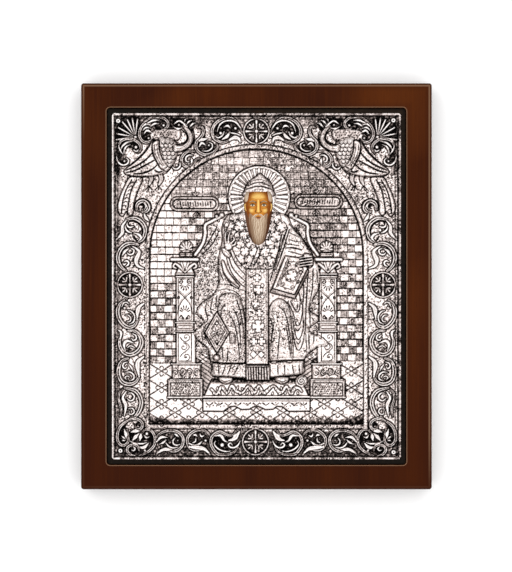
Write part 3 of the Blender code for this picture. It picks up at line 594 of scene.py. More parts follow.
def work_peacock(sheet, side):
    """A peacock with its neck thrown back, breast scales, swept wing and hanging tail."""
    def path(*points, closed=False):
        return curve(flip(points, side), closed=closed)

    draw(sheet, PEACOCK[:1], side)
    sheet.rough = 0.8
    back = flip([(41.5, 84.8), (50, 85.2), (56.6, 84), (57, 79.4), (50, 79.2), (42.4, 79.4)], side)
    sheet.raise_area(curve(back, closed=True), 0.9, 1.6, BORDER_LEVEL)
    sheet.punch(back, 1.6, 0.4, 0.42, black=0.75)
    sheet.darken(back, 0.25)
    sheet.rough = 1.1
    sheet.raise_area(path(*TAIL, closed=True), 0.7, 1.0, BORDER_LEVEL, 0.6)
    sheet.rough = 0.8
    for top, mid, foot in ((67.6, 70.8, (72.6, 45)), (65.0, 67.9, (69.4, 44.4))):
        sheet.chase(path((top, 57.6), (mid, 51.8), foot, (foot[0] + 0.6, 39.4)), 0.35, 0.5, black=0.9)
    for y in np.arange(56, 39, -2.1):
        x = 66.6 + 0.36 * (57 - y)
        sheet.chase(path((x - 0.9, y), (x + 0.3, y + 0.5), (x + 1.1, y - 0.3)), 0.25, 0.3, black=0.6)
    for x, lean in ((52.4, -0.8), (57.6, -0.6)):
        leg = path((x, 61.5), (x + lean, 58), (x + 0.6, 54.8))
        sheet.raise_line(leg, (1.4, 1.2, 0.5), 1.1, BORDER_LEVEL, shape=veined)
        for toe in (-1.6, 0.3, 2.0):
            sheet.chase(path((x + 0.6, 54.4), (x + 0.6 + toe, 52.2)), 0.3, 0.35, black=0.7)
    sheet.raise_area(path(*BREAST, closed=True), 1.3, 3.0, BORDER_LEVEL, dome=0.6)
    for row in range(8):
        y = 78.4 - 2.1 * row
        half = 4.2 - 0.4 * abs(row - 1)
        for x in np.arange(-half, half + 0.1, 2.2) + (row % 2) * 1.1 + 0.5 * max(row - 3, 0) - 0.8:
            scale = arc(side * (48.4 + x), y, 1.05, 180, 180, steps=9)
            sheet.add(scale, 0.34, 0.35)
            sheet.chase(scale + (0, -0.42), 0.26, 0.3, black=0.7)
    sheet.rough = 1.3
    sheet.raise_area(path(*WING, closed=True), 1.5, 1.1, BORDER_LEVEL)
    for quill in QUILLS:
        sheet.chase(path(*quill), (0.28, 0.42, 0.42, 0.3), 0.7, black=0.95)
    for pair in (QUILLS[1:3], QUILLS[2:4]):
        for share in (0.25, 0.45, 0.65):
            upper, lower = (np.multiply(line[0], 1 - share) + np.multiply(line[-1], share) for line in pair)
            barb = path(0.7 * upper + 0.3 * lower, 0.4 * upper + 0.6 * lower)
            sheet.chase(barb, 0.22, 0.2, black=0.4)
    sheet.raise_area(path(*RIBBON, closed=True), 1.9, 0.8, BORDER_LEVEL)
    for shift in (-1.5, 1.5):
        edge = [(x + share * shift, y) for x, y, share in RIBBON_LINE]
        sheet.chase(path(*edge), 0.22, 0.25)
    sheet.rough = 0.85
    neck = path((39.4, 87), (36.6, 83.6), (35.6, 80), (37, 77), (40, 75), (43.4, 74.6))
    sheet.raise_line(neck, (0.9, 1.2, 1.3, 1.5, 1.9), 1.3, BORDER_LEVEL, 0.5, 0.6)
    sheet.chase(neck + (0.3 * side, 0.1), (0.1, 0.2, 0.24, 0.2), 0.2, black=0.55)
    sheet.chase(neck + (-0.5 * side, -0.3), (0.1, 0.16, 0.2, 0.2), 0.2, black=0.4)
    sheet.rough = 0.25
    draw(sheet, PEACOCK[1:], side)
    sheet.chase(arc(side * 42, 87.4, 0.9), 0.25, 0.5, black=0.9)


def work_upper_corner(sheet, side):
    """A palm of narrow lobes in the corner, with three curls below and beside it."""
    sheet.rough = 0.25
    draw(sheet, UPPER_CORNER[:1], side)
    hub = np.array((65.6, 80.8))
    for tip in PALM_TIPS:
        lobe = flip([hub + 0.12 * (tip - hub), tip], side)
        sheet.raise_line(lobe, (0.2, 0.5, 0.72, 0.62), 1.4, BORDER_LEVEL, 0.3)
    sheet.raise_ball(*flip(hub, side), 1.1, 1.1, 1.3, BORDER_LEVEL)
    draw(sheet, UPPER_CORNER[1:], side)


def niche_reach(sheet):
    """How far each place is from the niche's middle line, or above that from the arch's centre."""
    return np.hypot(sheet.gx, np.maximum(sheet.gy - ARCH_Y, 0))


def work_edges(sheet):
    """The bead round the sheet, the grooves inside it, and the lip and pitted band round the niche."""
    gx, gy = sheet.gx, sheet.gy
    from_side, from_end = COVER_X / 2 - np.abs(gx), COVER_Y / 2 - np.abs(gy)
    in_from_edge = np.minimum(from_side, from_end)
    half = np.where(COVER_X / 2 + gx < 2, 0.58, 0.72)
    share = np.abs(in_from_edge - half) / half
    left = COVER_X / 2 + gx < 4
    knots = sheet.random.uniform(0, 1, BEAD_DENTS) ** 1.5
    worn = np.interp(np.where(from_side < from_end, gy, gx), np.linspace(-100, 100, BEAD_DENTS), knots)
    worn *= np.where(left, 0.5, 1)
    sheet.put(share < 1, z=0.2 + (0.6 + 0.3 * worn) * flat(share), black=0.55 * worn * worn,
              matt=np.where(left, 0.5, 1.3))
    for centre, half, black in ((1.85, 0.45, 1.0), (3.3, 0.24, 0.7)):
        sheet.sink(..., rounded((in_from_edge - centre) / half) * (0.7 + 0.3 * worn), 0.35, black)
    out = np.maximum(niche_reach(sheet) - ARCH_R, NICHE_FOOT - gy)
    sheet.put(out < 0, z=0.0)
    upright = (gy < ARCH_Y + 8) & (gy > NICHE_FOOT)
    left, right = (gx < -50) & upright, (gx > 50) & upright
    lip = rounded((out - np.where(left, 1.0, 1.2)) / np.where(left, 0.8, 1.05))
    sheet.put(lip > 0, z=0.3 + 0.6 * lip ** 0.5, black=0.0, matt=np.where(right, 0.9, 1.7))
    sheet.sink(..., rounded((out + 0.3) / 0.5), 0.5, 0.95)
    dashes = np.sin(2.1 * gy + 2 * np.sin(0.9 * gy)) > -0.1
    dashed = np.where(left, dashes, np.where(right & (gy > -28), 0.4 * dashes, 1.0))
    sheet.sink(..., rounded((out - 2.6) / 0.3) * dashed, 0.25, 0.7)
    band = ARCH_R + 1.5
    pits = [(side * band, y) for side in (-1, 1) for y in np.arange(-72, ARCH_Y, PIT)]
    for x, y in [*pits, *arc(0, ARCH_Y, band, 0, 180, steps=round(math.pi * ARCH_R / PIT))]:
        x, y = (x, y) + sheet.random.uniform(-0.9, 0.9, 2)
        sheet.chase([(x, y), (x + 0.4, y + 0.6)], 0.3, 0.2)


def work_border(sheet):
    sheet.z[:] = BORDER_LEVEL
    sheet.punch(box(-COVER_X / 2, -COVER_Y / 2, COVER_X / 2, COVER_Y / 2), 1.6, 0.2, 0.4, black=0.55,
                loose=0.5)
    gx, gy = np.abs(sheet.gx), sheet.gy
    outer = (np.where(sheet.gx > 0, 0.1, 0.35) + 0.3 * (gy > 60)) * clamp((gx - 72.5) / 2)
    top = clamp((gy - 84.5) / 3) * np.clip((gx - 20) / 10, 0.5, 1) * (1 - 0.3 * (np.abs(gx - 33) < 8))
    for tarnish in (outer, 0.55 * top, 0.55 * clamp((-78.0 - gy) / 2)):
        sheet.black = np.maximum(sheet.black, tarnish)
    sheet.matt += 0.5 * np.exp(-((gx - 54) / 8) ** 2 - ((gy - 50) / 9) ** 2)
    for side in (-1, 1):
        work_upper_corner(sheet, side)
        work_peacock(sheet, side)
        draw(sheet, TOP_SCROLLS + SIDE_SCROLLS + BOTTOM_SCROLLS, side)
        work_medallion(sheet, side * 68.6, 0.8, 7.3)
    work_medallion(sheet, 0.0, 84.0, 7.4)
    work_medallion(sheet, -0.5, -84.3, 7.6)


# The niche: brick wall, tiled floor and the two name plates

COURSE, BRICK = 3.94, 4.2
LEFT_FOOT, RIGHT_FOOT = -41.8, -40.6
VAULT_FOOT = 48.0
TILE_X, TILE_Y, TILE_FOOT = 14.7, 9.0, -73.0


def hatching(distance, pitch):
    """Fine lines a pitch apart: 1 on each line and 0 halfway between."""
    return 0.5 + 0.5 * np.cos(2 * np.pi * distance / pitch)


def wall_foot(gx):
    return np.where(gx < 0, LEFT_FOOT, RIGHT_FOOT)


def work_wall(sheet):
    """Courses of bricks, polished ones turn about with hatched ones; plain squares in the vault above."""
    gx, gy = sheet.gx, sheet.gy
    reach = niche_reach(sheet)
    vault = gy > VAULT_FOOT
    foot = np.where(vault, RIGHT_FOOT, wall_foot(gx))
    inside = (reach < ARCH_R - 0.3) & (gy > wall_foot(gx))
    course = np.floor((gy - foot) / COURSE)
    up = (gy - foot) / COURSE - course
    shift = np.where(vault, 0.0, 0.5 * (course % 2))
    along = np.abs(gx) / (2 * BRICK) + 0.12 + shift + 0.06 * np.sin(5.1 * course)
    turn = along - np.floor(along)
    polished = turn < 0.55
    wide = np.where(polished, 0.55, 0.45)
    across = (turn - np.where(polished, 0.0, 0.55)) / wide
    edge_x = np.minimum(across, 1 - across) * wide * 2 * BRICK
    edge_y = np.minimum(up, 1 - up) * COURSE
    pad = rounded(1 - clamp(np.minimum(edge_x, edge_y) / 0.75))
    number = np.floor(along * 2)
    # A chance value for each brick
    tone = np.sin(course * 12.9898 + number * 78.233 + (gx > 0) * 3.1) * 43758.5453
    tone -= np.floor(tone)
    hatch = hatching(across * wide * 2 * BRICK, 0.95)
    hatch = np.where(vault & ((course + number) % 2 > 0), hatching(up * COURSE, 0.98), hatch)
    hatch *= 0.45 + 0.55 * tone
    rubbed = np.where(gx < 0, 0.9 * np.clip((-gx - 38) / 5, 0.1, 1), 0.1) * clamp((gy + 2) / 8)
    dim = clamp((48 - gx) / 4) * clamp((gy - 17) / 5) * (gx > 0)
    right_vault = gx > 4

    height = np.where(polished, 0.42, 0.3 - 0.12 * hatch) * pad
    height = np.where(vault, (0.26 + 0.12 * tone - 0.05 * hatch) * pad, height)
    dark = np.where(polished, 0.12 * hatch, 0.1 + 0.14 * tone + 0.5 * hatch) * (1 - rubbed) * pad
    dark = np.maximum(dark, dim * (0.12 + 0.3 * hatch))
    dark = np.where(vault, (0.44 + 0.12 * right_vault) * hatch + 0.16 * tone, dark)
    dark = np.maximum(dark, np.where(vault, 0.5, 0.85) * rounded(edge_y / 0.42))
    dark = np.maximum(dark, np.where(vault, 0.5, 0.35 - 0.15 * (rubbed > 0.3)) * rounded(edge_x / 0.32))
    matt = np.where(polished, 0.7 + 0.4 * dim, 0.95) * (1 - 0.4 * rubbed)
    sheet.put(inside, z=height, black=np.maximum(sheet.black * (reach > 56.6), dark),
              matt=np.where(vault, 0.7 + 0.2 * right_vault, matt), part=WALL)


def work_floor(sheet):
    """Lozenge tiles, with four small half rounds where the joints cross."""
    gx, gy = sheet.gx, sheet.gy
    inside = (np.abs(gx) < ARCH_R - 0.3) & (gy > NICHE_FOOT + 0.4) & (gy <= wall_foot(gx))
    u, v = (gx / TILE_X + way * (gy - TILE_FOOT) / TILE_Y + 0.5 for way in (1, -1))
    off_joint = np.minimum(np.abs(u - np.round(u)), np.abs(v - np.round(v)))
    line = rounded(off_joint * TILE_X * TILE_Y / math.hypot(TILE_X, TILE_Y) / 0.36)
    # Painted shade: the floor is blackened along the niche's foot, reaching higher toward both sides, and
    # made more matt there; it is also more matt, so darker, toward its right edge
    painted_shade_from = -71.6 + 1.3 * clamp((np.abs(gx) - 46) / 8)
    sheet.put(inside, z=0.12 - 0.3 * line, part=FLOOR,
              black=np.maximum(0.5 * line, 0.85 * clamp((painted_shade_from - gy) / 2.5)),
              matt=0.5 + np.clip((-69 - gy) / 8, 0, 0.4) + 0.5 * clamp((gx - 46) / 8))
    for i in range(8):
        for j in range(-7 - i % 2, 9, 2):
            cx, cy = j * TILE_X / 2, TILE_FOOT + i * TILE_Y / 2
            if abs(cx) > 57 or cy > -44:
                continue
            for turn, reach in ((0, 2.2), (90, 1.75), (180, 2.2), (270, 1.75)):
                hub = spoke(cx, cy, turn, reach)[0]
                sheet.chase(arc(*hub, 0.95, turn - 100, 200, steps=9), 0.28, 0.3)


def work_name_plate(sheet, side, cy):
    """A long plate with round ends, and a row of shallow upright strokes in it."""
    sheet.region, sheet.rough = WALL, 1.8
    x0, x1, half = 20.4, 46.8, 4.0

    def capsule(inset):
        ends = (x1 - half, -90), (x0 + half, 90)
        line = [arc(x, cy, half - inset, start, 180, steps=14) for x, start in ends]
        return looped(flip(np.vstack(line), side))

    sheet.raise_area(capsule(0.0), 0.6, 0.7, 0.1, depth=0.35)
    sheet.add(capsule(0.75), 0.55, 0.45)
    sheet.chase(capsule(1.55), 0.3, 0.4, black=0.55)
    for i, x in enumerate(np.arange(x0 + 4.4, x1 - 4.0, 1.35)):
        tall = (1.1, 0.6, 0.9)[i % 3]
        sheet.chase(flip([(x, cy - tall), (x + 0.25, cy + tall)], side), 0.3, 0.25)
    for x, y, up in ((33, cy + 5.4, 1), (32.5, cy - 5.6, -1)):
        for lean in (-0.9, 0, 0.9):
            tip = (x + 1.9 * lean, y + up * (1.2 - 0.5 * abs(lean)))
            sprig = curve(flip([(x, y - up * 1.1), (x + 0.9 * lean, y), tip], side))
            sheet.raise_line(sprig, (0.3, 0.6, 0.25), 0.7, 0.1, 0.35, 0.35)


# The throne

POST_IN, POST_OUT = 34.0, 43.5
CURL_PITCH, LEAF_PITCH = 2.5, 1.75
# Mouldings across an arm post: from x, to x, y, half width, height, how black the line round them is
MOULDINGS = (
    (32, 45.8, 14.5, 1.1, 1.0, 0.75), (34.2, 43.4, 6.6, 0.6, 0.7, 0.75), (34.2, 43.4, 5.2, 0.6, 0.7, 0.75),
    (33.4, 43.8, -19.7, 0.5, 0.8, 0.45), (35.4, 42, -22.1, 0.85, 0.7, 0.45),
    (33.4, 43.8, -24.3, 0.45, 0.8, 0.45), (30, 46, -42, 0.55, 0.5, 0.75), (29.6, 46.6, -50.6, 0.5, 0.6, 0.75),
    (29.2, 48, -60.2, 0.6, 0.6, 0.75),
)
SCALLOPS = [(-29, -61.4), (-29, -67.6), (-18, -67.8), (-14.5, -65.2), (-11.5, -65), (-8, -66.8), (-4, -66.6),
            (-1, -65), (1, -65), (5, -66.8), (9, -66.6), (11, -65), (14, -65.2), (17.5, -67.8), (29, -67.6),
            (29, -61.4)]


def work_vine(sheet, a, b, reach, bends):
    """A chased vine from a to b, with a curl in each bend."""
    a, b = np.array(a, float), np.array(b, float)
    run = (b - a) / bends
    length = math.hypot(*run)
    across = np.array((-run[1], run[0])) / length * reach
    stem = [a + run * t + across * math.cos(math.pi * t) for t in np.linspace(0, bends, 6 * bends + 1)]
    sheet.chase(stem, 0.24, 0.3, black=0.7)
    heading = math.degrees(math.atan2(across[1], across[0]))
    for i in range(bends + 1):
        way = -1 if i % 2 else 1
        hub = a + run * i - 0.3 * way * across
        curl = arc(*hub, 0.42 * length, heading + 90 * way, 460 * way, 0.1, steps=20)
        sheet.chase(curl, 0.24, 0.25, black=0.6)
        bud = a + run * (i + 0.5) * (i < bends)
        sheet.raise_ball(*bud, 0.45, 0.45, 0.4, THRONE_LEVEL, 0.2, 0.2)


def work_block(sheet, outline, height, rough=0.45, shoulder=0.8):
    sheet.rough = rough
    sheet.raise_area(outline, height, shoulder, line=0.55, depth=0.45)


def work_arm_post(sheet, side):
    """A post on two steps, with a lattice panel, a scrolled capital and a flower finial."""
    mid = side * 0.5 * (POST_IN + POST_OUT)
    for outline, over, rough in (
        (box(29, -60.6, 48, -50.6), 0.5, 1.2), (box(30.2, -50.4, 45.6, -42.2), 0.2, 1.3),
        (box(POST_IN - 1, -42, POST_OUT, -24.2), 0.0, 0.45), (box(POST_IN, -24.8, POST_OUT, 6), 0.0, 0.45),
        ([(33.4, 6.6), (34.8, 9.5), (31.6, 13.6), (45.4, 13.6), (42.6, 9.5), (43.8, 6.6)], 0.0, 0.45),
    ):
        work_block(sheet, flip(outline, side), THRONE_LEVEL + over, rough)
    for x0, x1, y, half, height, ink in MOULDINGS:
        sheet.rough = 0.25 if y > 10 else 0.7
        sheet.ink = ink
        sheet.raise_line(flip([(x0, y), (x1, y)], side), half, height, THRONE_LEVEL, 0.35, 0.45)
    for bend in (-1, 1):
        volute = flip([(0, 7.6), (2.4, 10.2), (5.2, 12.2), (6.2, 10.6), (4.8, 9.8)], bend) + (mid, 0)
        sheet.raise_line(curve(volute), (0.5, 0.9, 0.8, 0.6), 0.9, THRONE_LEVEL - 0.2)
        petal = flip([(0.6, 9.2), (1.9, 12.6)], bend) + (mid, 0)
        sheet.raise_line(petal, (0.4, 0.75), 0.7, THRONE_LEVEL - 0.2, 0.3)
    for y0, y1 in ((-18.4, 4.0), (-40.6, -25.4)):
        sheet.chase(looped(flip(box(POST_IN + 1.2, y0, POST_OUT - 1.2, y1), side)), 0.26, 0.35, black=0.45)
    for lean in (-1, 1):
        lattice = curve(flip([(4.2, -2.4), (0, -6.2), (-2.8, -10), (-4.2, -15.2)], lean) + (mid, 0))
        sheet.chase(lattice, 0.26, 0.3, black=0.7)
        sheet.chase(lattice + (0, 1.0), 0.16, 0.2, black=0.3)
        for cx, cy, radius in ((2.3, 2.4, 1.3), (2.3, -16.8, 1.1), (3.6, -6.2, 0.8), (1.0, -17.4, 0.5)):
            curl = arc(mid + lean * cx, cy, radius, 90, 400 * lean, 0.3, steps=16)
            sheet.chase(curl, 0.3, 0.3, black=0.85)
    for y, up in ((1.8, -1), (-14.6, 1)):
        for lean in range(-60, 61, 24):
            ray = spoke(mid, y, up * 90 + lean, 1.7, 4.2 - 0.02 * abs(lean))
            sheet.chase(ray, (0.2, 0.36), 0.25, black=0.9)
    work_vine(sheet, (mid, -38.2), (mid, -27.6), 2.4, 2)
    work_vine(sheet, (side * 32.4, -46.4), (side * 43.8, -46.4), 2.0, 3)
    sheet.chase(looped(flip(box(30.6, -59.4, 46.6, -52.2), side)), 0.3, 0.4)
    sheet.punch(flip(box(31, -59, 46.2, -52.6), side), 1.15, 0.4, 0.42, black=0.55)
    foot = side * 38.0
    work_block(sheet, flip(box(34.6, 15.9, 41.6, 18.2), side), THRONE_LEVEL, 1.3)
    sheet.chase([(foot - 2.8, 17.1), (foot + 2.8, 17.1)], 0.3, 0.2, black=0.6)
    sheet.rough = 0.5
    sheet.raise_ball(foot, 21.4, 3.5, 3.3, 0.5, 0.2)
    for i in range(7):
        c, s = math.cos(math.radians(-15 + 35 * i)), math.sin(math.radians(-15 + 35 * i))
        petal = [(foot + 0.5 * c, 20.0), (foot + 3.0 * c, 20.8 + 3.1 * s)]
        sheet.raise_line(petal, (0.25, 0.6, 0.7), 0.6, 0.6, 0.25, 0.3)


def work_throne_side(sheet, side, scatter):
    """Half of the chair's curled back and its rail, the seat's hatched side, two knobs and an arm post."""
    def path(*points):
        return curve(flip(points, side))

    sheet.rough = 0.75
    back = [(12, 40), (21, 37), (27.2, 32.8), (27, 27), (29, 22), (32.5, 17), (34, 13), (34, -38), (24, -44),
            (12, -10)]
    sheet.raise_area(flip(back, side), 0.7, 1.0, line=0.5)
    for y in np.arange(-36.6, 37, CURL_PITCH):
        edge = np.interp(y, (13, 17, 22, 27, 33, 37), (33.4, 31.6, 28, 26, 26, 20))
        for x in np.arange(20.6 + 1.2 * (round(y / CURL_PITCH) % 2), edge, CURL_PITCH):
            lean, turn = scatter.uniform((-0.4, 0), (0.4, 360))
            curl = arc(side * x + lean, y - lean, 1.1, turn, 250, 0.3, steps=10)
            sheet.add(curl, (0.4, 0.3, 0.5), 0.35)
            sheet.chase(curl + (0.3, -0.4), (0.18, 0.28), 0.25, black=0.75)
    hatched = flip([(23.5, -36), (31.5, -41.5), (31.5, -60), (22, -60)], side)
    sheet.raise_area(hatched, 0.5, 0.8, line=0.5)
    sheet.darken(hatched, 0.25)
    for y in np.linspace(-38.5, -56.9, 9):
        sheet.chase(flip([(22.5, y - 3.2), (31, y + 2.6)], side), 0.26, 0.3)
    sheet.rough = 0.5
    rail = path((19.6, 37.6), (24.4, 35.2), (27.7, 33), (27.8, 28.4), (29.2, 23), (33.2, 17))
    sheet.raise_line(rail, (0.9, 1.1, 1.0), 1.0, 0.6, depth=0.45)
    sheet.chase(path((21.5, 32), (24.2, 27), (28.2, 20.5)), 0.3, 0.4, black=0.7)
    sheet.chase(path((20, 31), (23.2, 24), (29.4, 17)), 0.3, 0.4)
    for cx, cy, radius in ((18.8, 38.6, 1.5), (21.6, 38.0, 1.0)):
        sheet.raise_ball(side * cx, cy, radius, radius, 1.4, 0.6)
    work_arm_post(sheet, side)


def work_stool(sheet):
    """The footstool: a sloping top with a vine and a curl, over a scalloped and punched front."""
    work_block(sheet, [(-28.6, -59.8), (-24.2, -50.4), (24.2, -50.4), (28.6, -59.8)], THRONE_LEVEL)
    # Painted shade under the hem: the stool's top is blackened where the robe hangs over it
    sheet.darken([(-26, -53.4), (-25, -49), (25, -49), (26, -53.4)], 0.85, 1.8)
    x = np.linspace(-24.5, 24.5, 99)
    turn = x * 2 * np.pi / 7.0 + 0.9 * np.sin(0.37 * x)
    vine = np.stack([x, -56.2 + (1.8 + 0.5 * np.sin(0.8 * x)) * np.sin(turn)], axis=1)
    sheet.raise_line(vine, 0.75 + 0.3 * np.sin(1.3 * x[::6]), 0.6, THRONE_LEVEL, 0.6, 0.4, flat)
    for x in np.arange(-23, 24, LEAF_PITCH):
        lean, up = sheet.random.uniform((-1.2, 0.8), (1.2, 1.8))
        y = -58.6 if round(x / LEAF_PITCH) % 2 else -56.0
        leaf = curve([(x, y), (x + 0.6 * lean, y + 0.5 * up), (x + lean, y + up)])
        sheet.raise_line(leaf, (0.3, 0.65, 0.3), 0.5, THRONE_LEVEL, 0.4)
    sheet.raise_ball(24.4, -51.4, 3.4, 3.0, 0.9, 0.4, 0.6)
    sheet.chase(arc(24.4, -51.4, 2.5, 60, 700, 0.3, steps=40), 0.26, 0.3, black=0.8)
    work_block(sheet, SCALLOPS, THRONE_LEVEL + 0.3, shoulder=0.7)
    for y, half in ((-59.9, 0.75), (-61.5, 0.55)):
        sheet.raise_line([(-28.6, y), (28.6, y)], half, 0.8, THRONE_LEVEL, 0.35, 0.4)
    front = [(-28, -66.6), (-17.5, -66.6), (-13, -64.4), (13, -64.4), (17.5, -66.6), (28, -66.6), (28, -62.6),
             (-28, -62.6)]
    sheet.punch(front, 1.9, 0.3, 0.5, black=0.5)
    for x in np.arange(-25.5, 26, 5.1):
        sheet.chase(curve([(x - 1.8, -63.2), (x, -64.4), (x + 1.8, -63.2)]), 0.3, 0.3, black=0.55)


def work_throne(sheet):
    """Chair back, seat sides, arm posts and the footstool."""
    sheet.region = THRONE
    scatter = np.random.default_rng(11)
    for side in (-1, 1):
        work_throne_side(sheet, side, scatter)
    work_stool(sheet)


# The seated figure: its outline and legs, and the sunk lines of its folds
ROBE = [(-11.5, 39.4), (-16.6, 37), (-18.6, 31), (-18.4, 25), (-20.5, 14), (-20.6, 1), (-24, -5.2),
        (-30, -9.6), (-32.2, -14.4), (-28.6, -19.4), (-33.6, -24.6), (-31.6, -29.2), (-26.6, -33.4),
        (-25.4, -38.6), (-24, -44), (-23.6, -48.8), (-10, -49.8), (0, -50.6), (9, -49.6), (24.6, -47.6),
        (25.8, -42), (26.8, -38), (33, -33), (38.6, -31.4), (34.6, -27.2), (29.6, -25.4), (28.6, -22.4),
        (32.2, -19.8), (33.6, -16.6), (28.6, -12.8), (30.6, -7), (34, 0), (34.2, 8), (30.8, 16), (25, 25.4),
        (19.4, 32.4), (13.6, 39.4)]
LEFT_LEG = [(-20.8, -9), (-18.6, -4.9), (-14.6, -3.6), (-10.4, -5.2), (-7.6, -10), (-6.2, -18), (-6, -29),
            (-6.2, -41), (-14, -41.6), (-21, -40.6), (-20.6, -25)]
RIGHT_LEG = [(6.4, -15), (8, -9.4), (12, -6.6), (16.2, -8.6), (18.4, -14), (19.2, -24), (19.6, -40.2),
             (14, -40.2), (7.6, -41), (6.6, -28)]
LEG_FOLDS = [
    [(-10.6, -7.4), (-8.6, -14), (-7.2, -22), (-6.5, -28.4)],
    [(-12.4, -12), (-10, -18), (-8.8, -26), (-8.4, -34)],
    [(-13.6, -16.5), (-11.4, -22), (-9.8, -31), (-9, -40)], [(-17.4, -9.8), (-19, -13), (-19.4, -16.4)],
    [(-15.6, -35), (-15.8, -40.4)], [(-18.6, -33), (-18.2, -39.6)], [(7.6, -17.4), (8.8, -22), (8, -28)],
    [(9.6, -19), (8.6, -25), (7.6, -33)], [(12.8, -24.2), (12, -31), (11.4, -39.2)],
    [(12, -10.8), (15, -13.6), (17, -20), (18.4, -29), (19.4, -39.6)],
    [(16, -21.6), (17.4, -29), (18.6, -38.4)],
    [(16.8, -8.4), (19.6, -14), (21.2, -20), (22.6, -21.4), (24, -19), (25.2, -12)],
    [(19.4, -16), (20.6, -24), (22, -28.4), (23.6, -28.2), (25, -24), (25.8, -18)],
    [(19.8, -25), (20.8, -31), (22.2, -34.4), (23.8, -33.8), (25.4, -29.6), (26, -25)],
    [(18.4, -8), (20.8, -12.6), (22.2, -14), (23.4, -12), (23.6, -7)],
    [(21, -22.6), (22.4, -24.2), (23.8, -22.2)], [(20.2, -11.6), (21.8, -12.8), (22.4, -9.4)],
    [(21.6, -30), (22.8, -31.2), (24, -29)],
]
HANGING_FOLDS = [
    [(-27, -8.4), (-27.6, -13), (-26.4, -18), (-28, -19.6)], [(-23.6, -6), (-24.8, -12), (-24, -15)],
    [(-21.4, -5), (-22.2, -12)], [(-30.4, -15.6), (-28.8, -18.6)], [(-29.8, -25), (-29, -28.8), (-27, -28)],
    [(-31.4, -29.2), (-28.6, -31.6), (-26.8, -33)], [(-26.4, -20), (-28.4, -23), (-27.6, -27), (-25, -32)],
    [(28, 9.6), (27.6, 2), (27, -10), (26.6, -22), (27.2, -36)],
    [(30.6, 9.6), (30.4, 2), (30, -3), (28.6, -10.6)], [(32.8, 9), (33, 2)],
    [(24.6, 6), (25.6, -3), (25, -14), (26, -26)], [(29, -13.4), (29, -21)], [(30, -17), (31.4, -19)],
    [(31.2, -26), (31, -30.4)], [(28.4, -26), (28.6, -34)], [(22.8, -3), (24.6, -10)],
]
SLEEVE_FOLDS = [
    [(-13.2, 20.4), (-10, 14), (-6, 9.4)], [(-14.4, 19.4), (-11.4, 12.4), (-6.2, 6.2)],
    [(-15.6, 17.6), (-12.6, 9.6), (-6.2, 2.6)], [(-16.4, 15.4), (-13.6, 7.6), (-9, 1.6), (-6.2, -0.4)],
    [(-19, 12.4), (-16.4, 5), (-12.4, 0), (-6.4, -2.4)], [(-20, 8), (-18, 3.4)],
    [(-20.2, 1.2), (-17, 1.1), (-13.6, 0.6), (-9.6, -1.6)],
    [(-20.6, -2.2), (-16, -1.5), (-10.6, -3.6), (-7.4, -8)],
]
# Folds of the sleeve that holds the book: half width, points
RIGHT_SLEEVE = (
    (0.5, (16, 20.7), (20, 20.8), (24.6, 19.6)), (0.26, (17, 19), (21.4, 17.9), (26, 16.6)),
    (0.28, (17.6, 34), (21, 30), (25.4, 25.4), (29.8, 19.2)), (0.22, (17.4, 25.6), (20.6, 24.4), (24.4, 24)),
    (0.2, (18, 29), (21.4, 27.4), (23.6, 26.8)), (0.22, (15.4, 23), (19, 22.6), (23.6, 21.8)),
)
HALO_X, HALO_Y, HALO_R = 1.5, 48.5, 16.9
FACE_X, FACE_TOP, FACE_TIP, FACE_HALF = 1.0, 51.2, 22.0, 7.9
FACE_MARGIN = 1.2  # how far the painting runs on under the silver


def face_outline():
    """A drop: nearly flat under the cap, full at the cheeks and drawn in to the beard's tip."""
    side = curve([(6.6, FACE_TOP), (FACE_HALF, 46.5), (7.2, 38), (5.6, 30), (3.2, 24), (0, FACE_TIP)], 6)
    return np.vstack([side, flip(side, -1)[-2::-1]]) + (FACE_X, 0)


def work_halo(sheet):
    """A thin rolled rim with broad flat rays inside it."""
    sheet.rough = 0.6
    sheet.raise_area(arc(HALO_X, HALO_Y, HALO_R, steps=72), 0.6, 1.0, 0.1, 0.5, 0.35)
    sheet.raise_line(arc(HALO_X, HALO_Y, HALO_R - 0.9, steps=90), 0.8, 0.5, 0.6, 0.24, 0.25, flat)
    for i in range(32):
        ray = spoke(HALO_X, HALO_Y, 11.25 * i + sheet.random.uniform(-1.5, 1.5), 9.4, 14.8)
        sheet.rough = sheet.random.uniform(0.1, 0.7)
        slim = 0.74 if 4 < i < 13 else 1
        sheet.raise_line(ray, (0.55 * slim, 1.1 * slim), 0.5, 0.5, 0.35, 0.35, flat)


def work_cap(sheet):
    """A cap that draws up to a point, with two curved bands over the brow."""
    sheet.rough = 1.2
    cap = [(-6.6, 49), (-6.4, 52), (-5.3, 55), (-3.2, 57.4), (-0.2, 59.5), (1.9, 61.2), (4, 59.5),
           (6.6, 57.4), (8.3, 55), (9, 52), (8.8, 49)]
    sheet.raise_area(curve(cap, closed=True), 1.0, 1.4, 0.6, 0.6, dome=0.8)
    for y, rise in ((52.6, 1.5), (54.4, 1.9)):
        reach = 7.2 - 0.5 * (y - 52)
        band = curve([(1.3 - reach, y), (1.3, y + rise), (1.3 + reach, y)])
        sheet.chase(band, 0.26, 0.3, black=0.75)
        sheet.add(band - (0, 0.8), 0.7, 0.3)
    sheet.chase(curve([(-3.6, 56.6), (1.4, 58), (6.2, 56.6)]), 0.2, 0.25)


def work_cross(sheet, cx, cy, size, turn=0.0, height=0.5, shine=0.5):
    """A small raised cross with flared arms."""
    arm = size * np.array([(0.94, -0.56), (1.06, 0.0), (0.94, 0.56), (0.34, 0.34)])
    sheet.lift(np.vstack([swing(arm, cx, cy, turn + 90 * i) for i in range(4)]), height, shine=shine)


